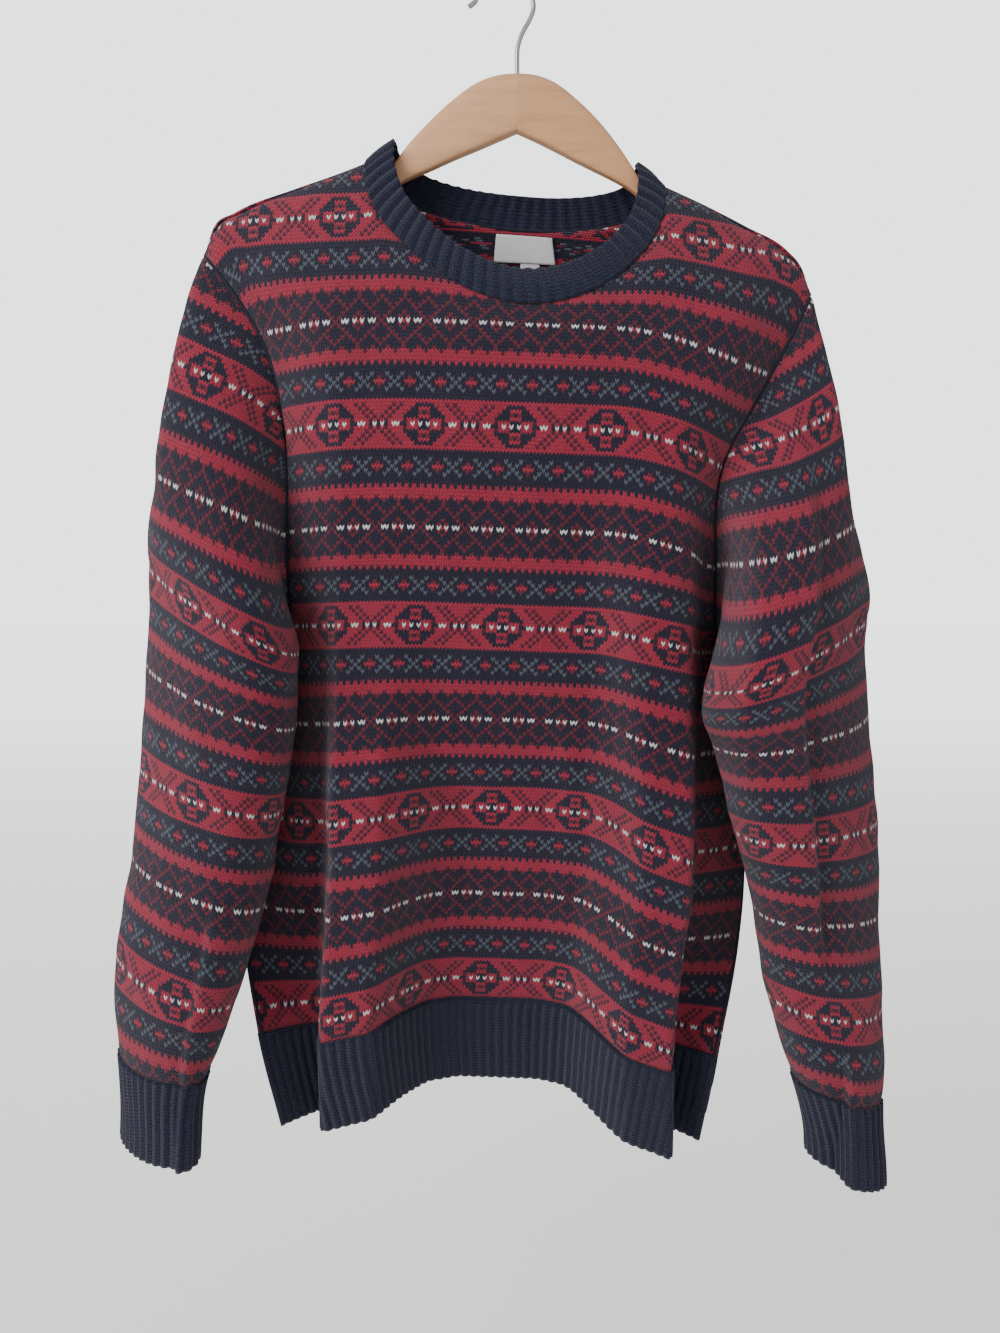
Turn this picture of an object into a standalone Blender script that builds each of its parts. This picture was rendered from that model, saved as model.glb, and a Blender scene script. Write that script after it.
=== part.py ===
"""Jumper with a traditional colour pattern, hanging on a wooden hanger.

Lengths are in millimetres until the meshes are written, then metres.  X runs to
the viewer's right, Y away from the viewer, Z up, and the origin is the place
where the hook rests on whatever holds it.

The cloth is worked out as sections.  Each row of knitting of the body is a plan
curve: how far it reaches to each side, how it turns to the side seam, and the
folds that push it forward.  Each row of a sleeve is a ring.  Rows are counted
from the top of the ribbing, columns of stitches from the middle.
"""
import bpy
from functools import lru_cache
from math import cos, exp, pi, radians, sin, sqrt

import numpy as np

# ---------------------------------------------------------------- sizes (mm)
WALE = 2.8            # width of one stitch
COURSE = 2.73         # height of one row of knitting on the body
WALL = 2.0            # thickness of the knitted cloth
GAP = 0.3             # space left at every seam

ROWS_ARMPIT = 116     # rows from the hem rib to the underarm
ROWS_SHOULDER = 222   # rows to the shoulder end
ROWS_NECK = 240       # rows to the shoulder at the neck
ROWS_DIP = 203.5      # rows to the bottom of the front neck
ROWS_YOKE = 195.0     # rows above which the cloth is drawn up to the shoulders
BACK_DIP = 14.0       # rows that the back neck dips
CAP_ROWS = 82.0       # rows of knitting in the sleeve's shaped top
ROW_SLEEVE = 133.0    # rows from the cuff to where the sleeve's tube starts

HALF_WIDTH = 232.0    # half width of the body across the shoulders, along the cloth
NECK_HALF = 110       # half width of the neck hole, along the cloth
A_NECK = NECK_HALF / HALF_WIDTH
OVER = 9.0            # half thickness of the jumper where it lies over the hanger
TILT = 0.035          # the whole jumper hangs a little lower at the viewer's right
CAP_SWELL = 7.0       # how far the top of a sleeve fills out before it hangs straight
CAP_START = {-1: 26.0, 1: 17.0}       # how steeply each sleeve leaves the shoulder

RIB = 1.2             # how far a rib stands out
RIBS_HEM, RIBS_NECK, RIBS_CUFF = 124, 60, 30
NECK_TALL = 26.0      # height of the neck ribbing
NECK = dict(x=11.0, rim=-138.0, front=-243.5, back=-172.0)
SHOULDER = dict(x=13.0, left=243.0, right=223.0)
HEM_ROWS = (-27, 0)
CUFF_ROWS = (-25, 0)
HOLE_LEAN = 0.25      # how far the edge of an armhole turns in towards the body
EDGE = 1e-6           # smallest step that still counts as inside an edge

SIDE_ROWS = 12        # grid steps up the side seam
HOLE_ROWS = 14        # grid steps up the armhole
CAP_STEPS = 8         # grid steps down the sleeve's shaped top
TUBE_ROWS = (120, 106, 92, 78, 64, 50, 37, 24, 15, 7, 0)
ROUND = 12            # points round the hanger's arm

HOOK_WIRE = 3.5       # thickness of the hook's wire
HOOK_BEND = 22.0      # radius of its bend


def smooth(t):
    t = np.clip(t, 0.0, 1.0)
    return t * t * (3 - 2 * t)


def unit(v):
    v = np.asarray(v, float)
    n = np.linalg.norm(v, axis=-1, keepdims=True)
    return v / np.where(n < 1e-9, 1.0, n)


def lengths(points):
    """Length along a line of points, from its first point to each of them."""
    return np.concatenate([[0], np.cumsum(np.linalg.norm(np.diff(points, axis=0), axis=1))])


def along_line(points, frac, values=None):
    """Places at shares of a line's length; values, if given, are read there instead."""
    s = lengths(points)
    values = points if values is None else values
    return np.stack([np.interp(frac * s[-1], s, values[:, k]) for k in range(3)], -1)


# ---------------------------------------------------------------- tables
LINES = {}


def lines_of(table, column):
    """Places, values and slopes of a named column; a table is read only once."""
    key = (id(table), column)
    if key not in LINES:
        k = table[0].index(column)
        at = np.array([line[0] for line in table[1:]], float)
        value = np.array([line[k] for line in table[1:]], float)
        LINES[key] = (table, at, value, np.gradient(value, at))
    return LINES[key][1:]


def track(table, column, at):
    """Smooth value of a named column of a table whose first column is the place."""
    xs, ys, slope = lines_of(table, column)
    if np.ndim(at) == 0:
        at = min(max(float(at), xs[0]), xs[-1])
        j = min(max(int(xs.searchsorted(at, side="right")) - 1, 0), len(xs) - 2)
    else:
        at = np.clip(np.asarray(at, float), xs[0], xs[-1])
        j = np.clip(xs.searchsorted(at, side="right") - 1, 0, len(xs) - 2)
    h = xs[j + 1] - xs[j]
    t = (at - xs[j]) / h
    return ((1 + 2 * t) * (1 - t) ** 2 * ys[j] + t * (1 - t) ** 2 * h * slope[j]
            + t * t * (3 - 2 * t) * ys[j + 1] + t * t * (t - 1) * h * slope[j + 1])


# one line per height of the body: rows above the hem rib, height and middle of
# the front, reach of the front to each side before it turns back, and where the
# side seam lies
BODY = [
    ("row", "z", "x", "y", "reach_l", "reach_r", "seam_y", "drop_l", "drop_r"),
    (-28, -871.5, -21, 14, 160, 181, -20, 30, 31),
    (0, -797.5, -20, 8, 179, 194, -18, 26, 32),
    (30, -714, -14, 0, 205, 212, 16, 22, 34),
    (60, -632, -10, -10, 188, 213, 24, 20, 32),
    (90, -551, -5, -20, 180, 192, 24, 14, 24),
    (116, -480.5, -1, -30, 172, 174, 12, 8, 16),
    (126, -453, 2, -34, 173, 166, -4, 8, 18),
    (141, -412, 4, -39, 174, 162, -10, 8, 24),
    (168, -337, 8, -47, 177, 160, -14, 7, 24),
    (195, -263, 11, -48, 196, 192, -14, 8, 24),
    (212, -217, 13, -43, 224, 212, -14, 10, 24),
    (222, -190, 13, -38, 243, 223, -14, 10, 24),
    (240, -141, 13, -30, 243, 223, -14, 10, 24),
]
# large folds of the front: place of the crest and how far it comes forward at
# three heights, and how wide its inner slope, its flat nose and its outer fall are
FOLDS = [
    ("name", "x_hem", "x_mid", "x_chest", "forward_hem", "forward_mid", "forward_chest",
     "slope", "nose", "fall", "lean", "ends"),
    ("left crest", -136, -128, -124, 62, 42, 6, 46, 32, 20, -5, 130),
    ("right crest", 122, 136, 138, 60, 46, 24, 46, 30, 20, 7, 176),
    ("left ripple", -68, -64, -50, 8, 7, 0, 26, 6, 26, 0, 120),
    ("right ripple", 60, 66, 60, 8, 7, 0, 30, 6, 26, 0, 120),
]
SHOULDER_L = [("x", "z"), (-230, -197), (-222, -181), (-200, -167), (-158, -150.4), (-120, -136.5), (-101, -129)]
SHOULDER_R = [("x", "z"), (123, -148), (150, -160.5), (182, -177.5), (214, -195.5), (229, -211), (237, -228)]


def fold_push(x, row, folds):
    """Forward and sideways move of the cloth at x, from every fold."""
    forward, aside = np.zeros_like(x), np.zeros_like(x)
    for f in folds[1:]:
        d = dict(zip(folds[0], f))
        t = row / 114.0
        if t < 0.5:
            w = smooth(max(t, 0.0) * 2)
            cx = d["x_hem"] * (1 - w) + d["x_mid"] * w
            amount = d["forward_hem"] * (1 - w) + d["forward_mid"] * w
        else:
            w = smooth((t - 0.5) * 2)
            cx = d["x_mid"] * (1 - w) + d["x_chest"] * w
            amount = d["forward_mid"] * (1 - w) + d["forward_chest"] * w
        amount = amount * (1 - smooth((row - 114) / max(d["ends"] - 114.0, 1.0)))
        out = 1.0 if cx > 0 else -1.0
        s = (x - cx) * out                      # outward from the crest
        inner = smooth((s + d["nose"] + d["slope"]) / d["slope"])
        outer = 1 - smooth(s / d["fall"])
        bump = inner * outer
        forward += amount * bump
        aside += d["lean"] * bump * amount / 60.0
    return forward, aside


def body_curve(row, n=420):
    """Front of the body at one row as a plan curve from left seam to right seam:
    place along the cloth from the middle, x, y."""
    xc, yc = float(track(BODY, "x", row)), float(track(BODY, "y", row))
    rl, rr = float(track(BODY, "reach_l", row)), float(track(BODY, "reach_r", row))
    ys = float(track(BODY, "seam_y", row))
    t = np.linspace(-1, 1, n)
    reach = np.where(t < 0, rl, rr)
    x = reach * t
    # gentle arch, then the turn towards the seam
    edge = np.clip((np.abs(t) - 0.72) / 0.28, 0, 1)
    y = yc + (ys - yc) * (0.10 * np.abs(t) ** 2 + 0.90 * edge ** 1.6)
    forward, aside = fold_push(x + xc, row, FOLDS)
    X = xc + x + aside
    Y = y - forward
    s = lengths(np.stack([X, Y], -1))
    mid = np.interp(xc, X[n // 3: 2 * n // 3], s[n // 3: 2 * n // 3])
    return s - mid, X, Y


def shoulder_row(u):
    """Rows up to the shoulder line at a place across the cloth."""
    a = np.clip((np.abs(u) - NECK_HALF) / (HALF_WIDTH - NECK_HALF), 0, 1)
    return ROWS_NECK - (ROWS_NECK - ROWS_SHOULDER) * a


def neck_row(u):
    """Rows up to the front neck edge."""
    c = np.sqrt(np.clip(1 - (u / NECK_HALF) ** 2, 0, 1))
    return ROWS_NECK - (ROWS_NECK - ROWS_DIP) * c


def front_top(u):
    return np.where(np.abs(u) < NECK_HALF, neck_row(u), shoulder_row(u))


def shoulder_z(x):
    l = track(SHOULDER_L, "z", np.minimum(x, -101))
    r = track(SHOULDER_R, "z", np.maximum(x, 123))
    mid = (x + 101) / 224.0
    return np.where(x < -101, l, np.where(x > 123, r, -129 + (-148 + 129) * mid))


def neck_z(a, x, deep):
    """Height of the neck edge: an ellipse hung from the shoulder line."""
    c = np.sqrt(np.clip(1 - (a / A_NECK) ** 2, 0, 1))
    return shoulder_z(x) + (deep - NECK["rim"]) * c


def row_z(row, u, x, xc):
    """Height of a row of the front: level rows, tilted, hanging lower at the sides."""
    z = track(BODY, "z", row)
    return (z - TILT * (x - xc)
            - track(BODY, "drop_l", row) * smooth((-u - 70) / 150)
            - track(BODY, "drop_r", row) * smooth((u - 70) / 130))


@lru_cache(maxsize=None)
def front_curve(row):
    return body_curve(row)


def front_point(a, row):
    """A point of the front's outer face: a from -1 (left edge) to 1, and the row."""
    s, X, Y = front_curve(row)
    u = a * abs(s[0]) if a < 0 else a * s[-1]
    x, y = float(np.interp(u, s, X)), float(np.interp(u, s, Y))
    xc = float(track(BODY, "x", row))
    top = float(top_row(a))
    if row <= ROWS_YOKE:
        z = float(row_z(row, u, x, xc))
    else:
        s1, X1, Y1 = front_curve(ROWS_YOKE)
        u1 = a * abs(s1[0]) if a < 0 else a * s1[-1]
        x1 = float(np.interp(u1, s1, X1))
        z1 = float(row_z(ROWS_YOKE, u1, x1, float(track(BODY, "x", ROWS_YOKE))))
        xt = top_x(a)
        zt = float(neck_z(a, xt, NECK["front"])) if abs(a) < A_NECK else float(shoulder_z(xt))
        z = z1 + (zt - z1) * (row - ROWS_YOKE) / (top - ROWS_YOKE)
    # the cloth comes back over the hanger at the shoulder line
    below = max(float(shoulder_row(a * HALF_WIDTH)) - row, 0.0)
    y = -OVER * (1 - exp(-below / 1.6)) + (y + OVER) * (1 - exp(-below / 14.0))
    return np.array([x, y, z])


def top_row(a):
    return front_top(a * HALF_WIDTH)


def top_x(a):
    s, X, Y = front_curve(float(top_row(a)))
    u = a * abs(s[0]) if a < 0 else a * s[-1]
    return float(np.interp(u, s, X))


BACK = [
    ("row", "y", "reach_l", "reach_r", "edge_y", "wave"),
    (-28, 44, 174, 172, 26, 10),
    (0, 48, 174, 172, 26, 12),
    (60, 60, 174, 172, 26, 10),
    (116, 56, 174, 172, 26, 6),
    (126, 54, 176, 170, 28, 5),
    (141, 49, 178, 168, 26, 4),
    (168, 44, 182, 170, 24, 3),
    (195, 38, 200, 194, 20, 2),
    (212, 33, 226, 213, 16, 1),
    (222, 32, 243, 223, 14, 0),
    (240, 28, 243, 223, 14, 0),
]


def back_top(a):
    u = a * HALF_WIDTH
    c = sqrt(max(1 - (u / NECK_HALF) ** 2, 0.0)) if abs(u) < NECK_HALF else 0.0
    return float(shoulder_row(u)) - BACK_DIP * c


def back_point(a, row):
    """A point of the back's outer face: a from -1 (left edge) to 1, and the row."""
    left = front_point(-1.0, min(row, ROWS_SHOULDER - 0.01))
    right = front_point(1.0, min(row, ROWS_SHOULDER - 0.01))
    xc = float(track(BODY, "x", row))
    if row > ROWS_ARMPIT:
        k = smooth((row - ROWS_ARMPIT) / 10.0)
        xl = left[0] * (1 - k) + (xc - float(track(BACK, "reach_l", row))) * k
        xr = right[0] * (1 - k) + (xc + float(track(BACK, "reach_r", row))) * k
        ye = left[1] * (1 - k) + float(track(BACK, "edge_y", row)) * k
        yr = right[1] * (1 - k) + float(track(BACK, "edge_y", row)) * k
    else:
        xl, xr, ye, yr = left[0], right[0], left[1], right[1]
    yb = float(track(BACK, "y", row))
    wave = float(track(BACK, "wave", row))
    far, swell = sin(abs(a) * pi / 2), cos(abs(a) * pi / 2)
    square = float(smooth((ROWS_NECK - row) / 60.0))     # the turn at the side seam
    far = abs(a) + (far ** 0.85 - abs(a)) * square
    swell = max(swell, 0.0) ** 0.7
    x = xc + (xl - xc) * far if a < 0 else xc + (xr - xc) * far
    yedge = ye if a < 0 else yr
    y = yedge + (yb - yedge) * swell + wave * cos(a * 3.0 * pi) * swell ** 2
    zc = float(track(BODY, "z", row))
    if row <= ROWS_YOKE:
        z = zc + ((left[2] if a < 0 else right[2]) - zc) * abs(a) ** 1.5
    else:
        l1 = front_point(-1.0, ROWS_YOKE)
        r1 = front_point(1.0, ROWS_YOKE)
        z1c = float(track(BODY, "z", ROWS_YOKE))
        z1 = z1c + ((l1[2] if a < 0 else r1[2]) - z1c) * abs(a) ** 1.5
        st = back_top(a)
        xt = SHOULDER["x"] + a * (SHOULDER["left"] if a < 0 else SHOULDER["right"])
        zt = float(neck_z(a, xt, NECK["back"])) if abs(a) < A_NECK else float(shoulder_z(xt))
        z = z1 + (zt - z1) * (row - ROWS_YOKE) / (st - ROWS_YOKE)
    below = max(float(shoulder_row(a * HALF_WIDTH)) - row, 0.0)
    y = OVER * (1 - exp(-below / 1.6)) + (y - OVER) * (1 - exp(-below / 10.0))
    return np.array([x, y, z])


# sleeves: one line per height, rows above the cuff; place of the middle of the
# tube, its longer and shorter half widths, how far the longer one is turned
# away from the front, and how much higher the outer side of a row lies
SLEEVE_LEFT = [
    ("row", "x", "y", "z", "long", "short", "turn", "slant"),
    (-28, -281, -24, -912, 50, 24, 45, -0.05),
    (-24, -280, -24, -901, 50, 24, 45, -0.05),
    (0, -276, -22, -836, 46, 29, 40, 0.10),
    (10, -272, -20, -803, 51, 35, 36, 0.26),
    (23.5, -264, -18, -764, 55, 40, 35, 0.34),
    (50, -246, -15, -686, 64, 44, 38, 0.32),
    (77.5, -234, -12, -612, 70, 46, 42, 0.26),
    (105, -227, -9, -536, 74, 46, 46, 0.38),
    (133, -223, -8, -466, 76, 46, 50, 0.55),
]
SLEEVE_RIGHT = [
    ("row", "x", "y", "z", "long", "short", "turn", "slant"),
    (-28, 277, -20, -926, 29, 26, 30, -0.20),
    (-24, 277, -20, -916, 29, 26, 30, -0.20),
    (0, 270, -20, -856, 37, 31, 36, -0.22),
    (10, 266, -19, -826, 47, 36, 38, -0.20),
    (23.5, 260, -18, -786, 54, 40, 36, -0.18),
    (50, 251, -15, -711, 61, 43, 38, -0.12),
    (77.5, 241, -13, -640, 74, 49, 43, 0.0),
    (105, 229, -11, -564, 84, 51, 47, 0.12),
    (133, 226, -10, -500, 88, 51, 50, 0.38),
]
SLEEVE_FOLDS_L = [
    ("name", "row_a", "row_b", "off_a", "off_b", "forward_a", "forward_b", "slope", "fall", "toward"),
    ("cuff ridge", -28, 40, 30, 30, 8, 4, 16, 8, 1),
]
SLEEVE_FOLDS_R = [
    ("name", "row_a", "row_b", "off_a", "off_b", "forward_a", "forward_b", "slope", "fall", "toward"),
    ("long ridge", 60, 190, -14, -6, 10, 18, 30, 8, -1),
    ("cuff step", -28, 10, -8, 2, 22, 8, 30, 6, 1),
]


def sleeve_ring(side, row, n=240):
    """One ring round a sleeve, starting at its inner side; side is -1 or 1."""
    table = SLEEVE_LEFT if side < 0 else SLEEVE_RIGHT
    g = {k: float(track(table, k, row)) for k in table[0][1:]}
    t = radians(g["turn"])
    inner = -side
    es = np.array([inner * sin(t), cos(t)])
    el = np.array([inner * cos(t), -sin(t)])
    psi = np.linspace(0, 2 * pi, n + 1)
    px = g["x"] + g["short"] * np.cos(psi) * es[0] + g["long"] * np.sin(psi) * el[0]
    py = g["y"] + g["short"] * np.cos(psi) * es[1] + g["long"] * np.sin(psi) * el[1]
    folds = SLEEVE_FOLDS_L if side < 0 else SLEEVE_FOLDS_R
    front = smooth((g["y"] - py) / 20.0 + 0.3)
    for f in folds[1:]:
        d = dict(zip(folds[0], f))
        k = (row - d["row_a"]) / (d["row_b"] - d["row_a"])
        if k < -0.25 or k > 1.25:
            continue
        w = smooth(k)
        off = d["off_a"] + (d["off_b"] - d["off_a"]) * w
        amount = d["forward_a"] + (d["forward_b"] - d["forward_a"]) * w
        amount *= smooth((k + 0.25) / 0.25) * smooth((1.25 - k) / 0.25)
        s = -(px - g["x"] - off) * d["toward"]
        bump = (1 - smooth(s / d["fall"])) * smooth((s + 70) / d["slope"])
        py = py - amount * bump * front
    pz = g["z"] + g["slant"] * (px - g["x"]) * side
    return np.stack([px, py, pz], -1)


def armhole(side, count):
    """Points round the armhole: underarm, up the front edge, over the shoulder
    end, down the back edge, back to the underarm."""
    rows = np.linspace(ROWS_ARMPIT, ROWS_SHOULDER, 60)
    f = np.array([front_point(float(side), r) for r in rows])
    b = np.array([back_point(float(side), r) for r in rows])
    return along_line(np.concatenate([f, b[::-1][1:]]), np.linspace(0, 1, count + 1))


def sleeve_points(side, frac, ring0):
    """Grid of the sleeve's outer face [step][around], its first ring on the armhole
    and its last on the cuff."""
    ring1 = along_line(sleeve_ring(side, ROW_SLEEVE), frac)
    ring2 = along_line(sleeve_ring(side, ROW_SLEEVE - 10), frac)
    down = unit(ring2 - ring1)
    up = 1 - np.abs(2 * frac - 1)                 # 0 at the underarm, 1 at the shoulder end
    length = 0.9 * np.linalg.norm(ring1 - ring0, axis=1)[:, None]
    out = ring0 - ring0.mean(axis=0)
    out[:, 0] = side * CAP_START[side]
    out[:, 1] *= 1.3
    out[:, 2] = -26.0 - 30.0 * up ** 2
    out = unit(out)
    grid = []
    for t in np.linspace(0, 1, CAP_STEPS + 1):
        rise, leave = (1 + 2 * t) * (1 - t) ** 2, t * (1 - t) ** 2
        reach, arrive = t * t * (3 - 2 * t), t * t * (t - 1)
        P = rise * ring0 + reach * ring1 + leave * length * out + arrive * length * down
        P[:, 0] += side * CAP_SWELL * up * 9.5 * t ** 3 * (1 - t)
        grid.append(P)
    for row in TUBE_ROWS:
        grid.append(along_line(sleeve_ring(side, row), frac))
    return np.array(grid)


# ---------------------------------------------------------------- mesh helpers
def grid_normals(G, wrap):
    """Normals of a grid of points, pointing out of the cloth's right side."""
    if wrap:
        du = np.roll(G, -1, axis=1) - np.roll(G, 1, axis=1)
    else:
        du = np.gradient(G, axis=1)
    dv = np.gradient(G, axis=0)
    return unit(np.cross(du, dv))


def shell(name, outer, inner, wrap=False):
    """Closed solid between an outer and an inner grid of points (mm)."""
    R, C = outer.shape[:2]
    verts = np.concatenate([outer.reshape(-1, 3), inner.reshape(-1, 3)]) * 0.001
    off = R * C
    faces = []
    last = C if wrap else C - 1
    for j in range(R - 1):
        for i in range(last):
            k = (i + 1) % C
            a, b, c, d = j * C + i, j * C + k, (j + 1) * C + k, (j + 1) * C + i
            faces += [(a, b, c), (a, c, d)]
            faces += [(off + a, off + c, off + b), (off + a, off + d, off + c)]
    for i in range(last):
        k = (i + 1) % C
        a, b = i, k
        faces.append((b, a, off + a, off + b))
        a, b = (R - 1) * C + i, (R - 1) * C + k
        faces.append((a, b, off + b, off + a))
    if not wrap:
        for j in range(R - 1):
            a, b = j * C, (j + 1) * C
            faces.append((a, b, off + b, off + a))
            a, b = j * C + C - 1, (j + 1) * C + C - 1
            faces.append((b, a, off + a, off + b))
    solid(name, verts, faces)


def solid(name, verts, faces):
    """A closed mesh (metres) with its faces turned out."""
    mesh = bpy.data.meshes.new(name)
    mesh.from_pydata([tuple(v) for v in verts], [], faces)
    mesh.update()
    volume = 0.0
    for p in mesh.polygons:
        co = [mesh.vertices[i].co for i in p.vertices]
        for i in range(1, len(co) - 1):
            volume += co[0].dot(co[i].cross(co[i + 1]))
    if volume < 0:
        mesh.flip_normals()
    obj = bpy.data.objects.new(name, mesh)
    JUMPER.objects.link(obj)


# ---------------------------------------------------------------- body panels
def heights():
    """Heights of a panel's grid, as shares of the rows up to the shoulder end."""
    low = np.linspace(0, ROWS_ARMPIT, SIDE_ROWS + 1)
    high = np.linspace(ROWS_ARMPIT, ROWS_SHOULDER - 8, HOLE_ROWS - 2)[1:]
    last = ROWS_SHOULDER - np.array([4.2, 1.4, 0])
    return np.concatenate([low, high, last]) / ROWS_SHOULDER


def across(side, neck):
    """Places across a panel: steps from each side to the neck, and across the neck."""
    left = np.linspace(-1, -A_NECK, side + 1)
    turn = np.concatenate([[-86, -79], np.linspace(-90, 90, neck + 1)[1:-1], [79, 86, 90]])
    mid = A_NECK * np.sin(np.radians(turn))
    right = np.linspace(A_NECK, 1, side + 1)[1:]
    return np.concatenate([left, mid, right])


def panel_grid(point, top, cols):
    """Grid of a panel's outer face [height][across]; the front stops just under its edge,
    where its shape still counts as below the shoulder line."""
    short = EDGE if point is front_point else 0.0
    return np.array([[point(a, min(b * float(top(a)), float(top(a)) - short))
                      for a in cols] for b in heights()])


def hole_middle(side):
    """The middle of an armhole, towards which its seam is turned."""
    return armhole(side, 40).mean(axis=0)


def hole_inward(points, side):
    """Direction into the cloth along the edge of an armhole."""
    middle = hole_middle(side) - points
    middle[..., 0] = 0.0
    return unit(unit(middle) - HOLE_LEAN * np.array([side, 0, 0]))


def inward_normals(G, point, top, cols):
    """Normals of a panel's grid that point to its wrong side."""
    du = (panel_grid(point, top, np.clip(cols + 0.01, -1, 1))
          - panel_grid(point, top, np.clip(cols - 0.01, -1, 1)))
    N = -unit(np.cross(du, np.gradient(G, axis=0)))
    return N if np.sum(N[:, :, 1] * (hole_middle(1)[1] - G[:, :, 1])) > 0 else -N


def inward(G, N, cols):
    """Direction from the right side of a body panel towards the wrong side: straight
    through the cloth, but turned down along the shoulder and in round the armholes."""
    out = N.copy()
    shoulder = np.abs(cols) > A_NECK - EDGE
    down = np.array([0, 0, -1.0])
    out[-1, shoulder] = down
    out[-2, shoulder] = unit(0.7 * N[-2, shoulder] + 0.3 * down)
    at_hole = heights() * ROWS_SHOULDER >= ROWS_ARMPIT - EDGE
    for side, col in ((-1, 0), (1, -1)):
        out[at_hole, col] = hole_inward(G[at_hole, col], side)
    return out


def pull(G, amount, edges):
    """Draw the edge of a grid back along the cloth, to leave the seam gap."""
    H = G.copy()
    if "left" in edges:
        H[:, 0] += amount * unit(G[:, 1] - G[:, 0])
    if "right" in edges:
        H[:, -1] += amount * unit(G[:, -2] - G[:, -1])
    if "bottom" in edges:
        H[0] += amount * unit(G[1] - G[0])
    if "top" in edges:
        H[-1] += amount * unit(G[-2] - G[-1])
    return H


FRONT_COLS = across(12, 10)
BACK_COLS = across(7, 8)


def build_panel(name, G, D, cols):
    """One panel of the body; along the shoulders its wall ends upright, at the seam."""
    out = pull(G, GAP * 0.5, ("left", "right", "top", "bottom"))
    inn = out + D * WALL
    shoulder = np.abs(cols) > A_NECK - EDGE
    for grid in (out, inn):
        grid[-1, shoulder, 1] = -GAP * 0.5 if name == "front" else GAP * 0.5
    shell(name, out, inn)


def between(*walls):
    """Direction into the cloth at a seam, halfway between the walls that meet:
    each wall is the way it runs from the seam and its inward normal."""
    return unit(sum(unit(run) + unit(normal) for run, normal in walls))


def snapped(P, count):
    """Even places along a line of points, the nearest ones moved onto its corners."""
    s = lengths(P)
    frac = np.linspace(0, 1, count + 1)
    taken = {0, count}
    for corner in s[1:-1] / s[-1]:
        for k in np.argsort(np.abs(frac - corner)):
            if int(k) not in taken:
                frac[k] = corner
                taken.add(int(k))
                break
    return np.sort(frac)[:-1]


def turned_at(P, D, frac):
    """Directions D, given at the points of a line, read at shares of its length."""
    return unit(along_line(P, frac, D))


def inward_of_band(seam, lean):
    """Normals of the neck band at its seam that point towards its inside."""
    along = np.roll(seam, -1, axis=0) - np.roll(seam, 1, axis=0)
    N = unit(np.cross(along, lean))
    middle = seam.mean(axis=0) - seam
    return N if np.sum(N * middle) > 0 else -N


def ribbed(name, rows, seam_at, seam_dir, rib, wall, flush=False):
    """Ribbed band: rows of points round a closed loop; ridges stand out of the
    outer face, the inner face stays plain."""
    G = np.array(rows)
    C = G.shape[1]
    N = grid_normals(G, True)
    # turn the normals away from the inside of the band
    if np.sum(N[seam_at] * seam_dir) > 0:
        N = -N
    ridge = np.where(np.arange(C) % 2 == 0, rib, 0.0)[None, :, None] * np.ones((G.shape[0], 1, 1))
    if flush:
        ridge[seam_at] = 0.0
    D = -N
    D[seam_at] = unit(seam_dir)
    shell(name, G + N * ridge, G + D * wall, wrap=True)


# ---------------------------------------------------------------- the garment
def build_garment():
    """Front, back, ribbing and sleeves; the ribbing and the sleeves start on the panels' edges."""
    FG = panel_grid(front_point, top_row, FRONT_COLS)
    BG = panel_grid(back_point, back_top, BACK_COLS)
    for a in (-A_NECK, A_NECK):
        BG[-1, np.argmin(np.abs(BACK_COLS - a))] = FG[-1, np.argmin(np.abs(FRONT_COLS - a))]
    FN = inward_normals(FG, front_point, top_row, FRONT_COLS)
    BN = inward_normals(BG, back_point, back_top, BACK_COLS)
    FD, BD = inward(FG, FN, FRONT_COLS), inward(BG, BN, BACK_COLS)
    for col, near in ((0, 1), (-1, -2)):
        for j in range(SIDE_ROWS):
            d = between((FG[j, near] - FG[j, col], FN[j, col]), (BG[j, near] - BG[j, col], BN[j, col]))
            FD[j, col] = BD[j, col] = d
    build_hem(FG, FD, BG, BD)
    build_neck((FG, FN, FD), (BG, BN, BD))
    build_panel("front", FG, FD, FRONT_COLS)
    build_panel("back", BG, BD, BACK_COLS)
    hole = list(range(SIDE_ROWS, SIDE_ROWS + HOLE_ROWS + 1))
    for side, name, col in ((-1, "left", 0), (1, "right", -1)):
        loop = np.concatenate([FG[hole, col], BG[hole, col][::-1][1:-1]])
        build_sleeve(side, name, loop)


def shared(front, back, count):
    """Places round a band that is knitted on both panels, snapped to their corners."""
    fl, bl = lengths(front)[-1], lengths(back)[-1]
    nf = int(round(count * fl / (fl + bl)))
    return snapped(front, nf), snapped(back, count - nf)


def build_hem(FG, FD, BG, BD):
    """Hem ribbing: one ring, its top edge on the lower edges of both panels."""
    kf, kb = shared(FG[0], BG[0][::-1], 2 * RIBS_HEM)
    turn = np.concatenate([turned_at(FG[0], FD[0], kf), turned_at(BG[0][::-1], BD[0][::-1], kb)])
    f = np.array([front_point(a, HEM_ROWS[0]) for a in np.linspace(-1, 1, 121)])
    b = np.array([back_point(a, HEM_ROWS[0]) for a in np.linspace(-1, 1, 81)])
    low = np.concatenate([along_line(f, kf), along_line(b[::-1], kb)])
    high = np.concatenate([along_line(FG[0], kf), along_line(BG[0][::-1], kb)])
    ribbed("hem_rib", [low, high - np.array([0, 0, GAP])], -1, turn, RIB, WALL)


def neck_lean(seam):
    """Way that the neck ribbing stands: up, and in over the wearer's neck at its sides."""
    away = seam - np.array([NECK["x"] + 1, -8, 0])
    away[:, 2] = 0
    steep = np.clip(np.abs(away[:, 0] / 112.0), 0, 1) ** 3
    up = np.array([0, 0, 1.0])
    return unit(unit(-away) * (0.20 + 0.60 * steep)[:, None] + up * (0.97 - 0.41 * steep)[:, None])


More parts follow.
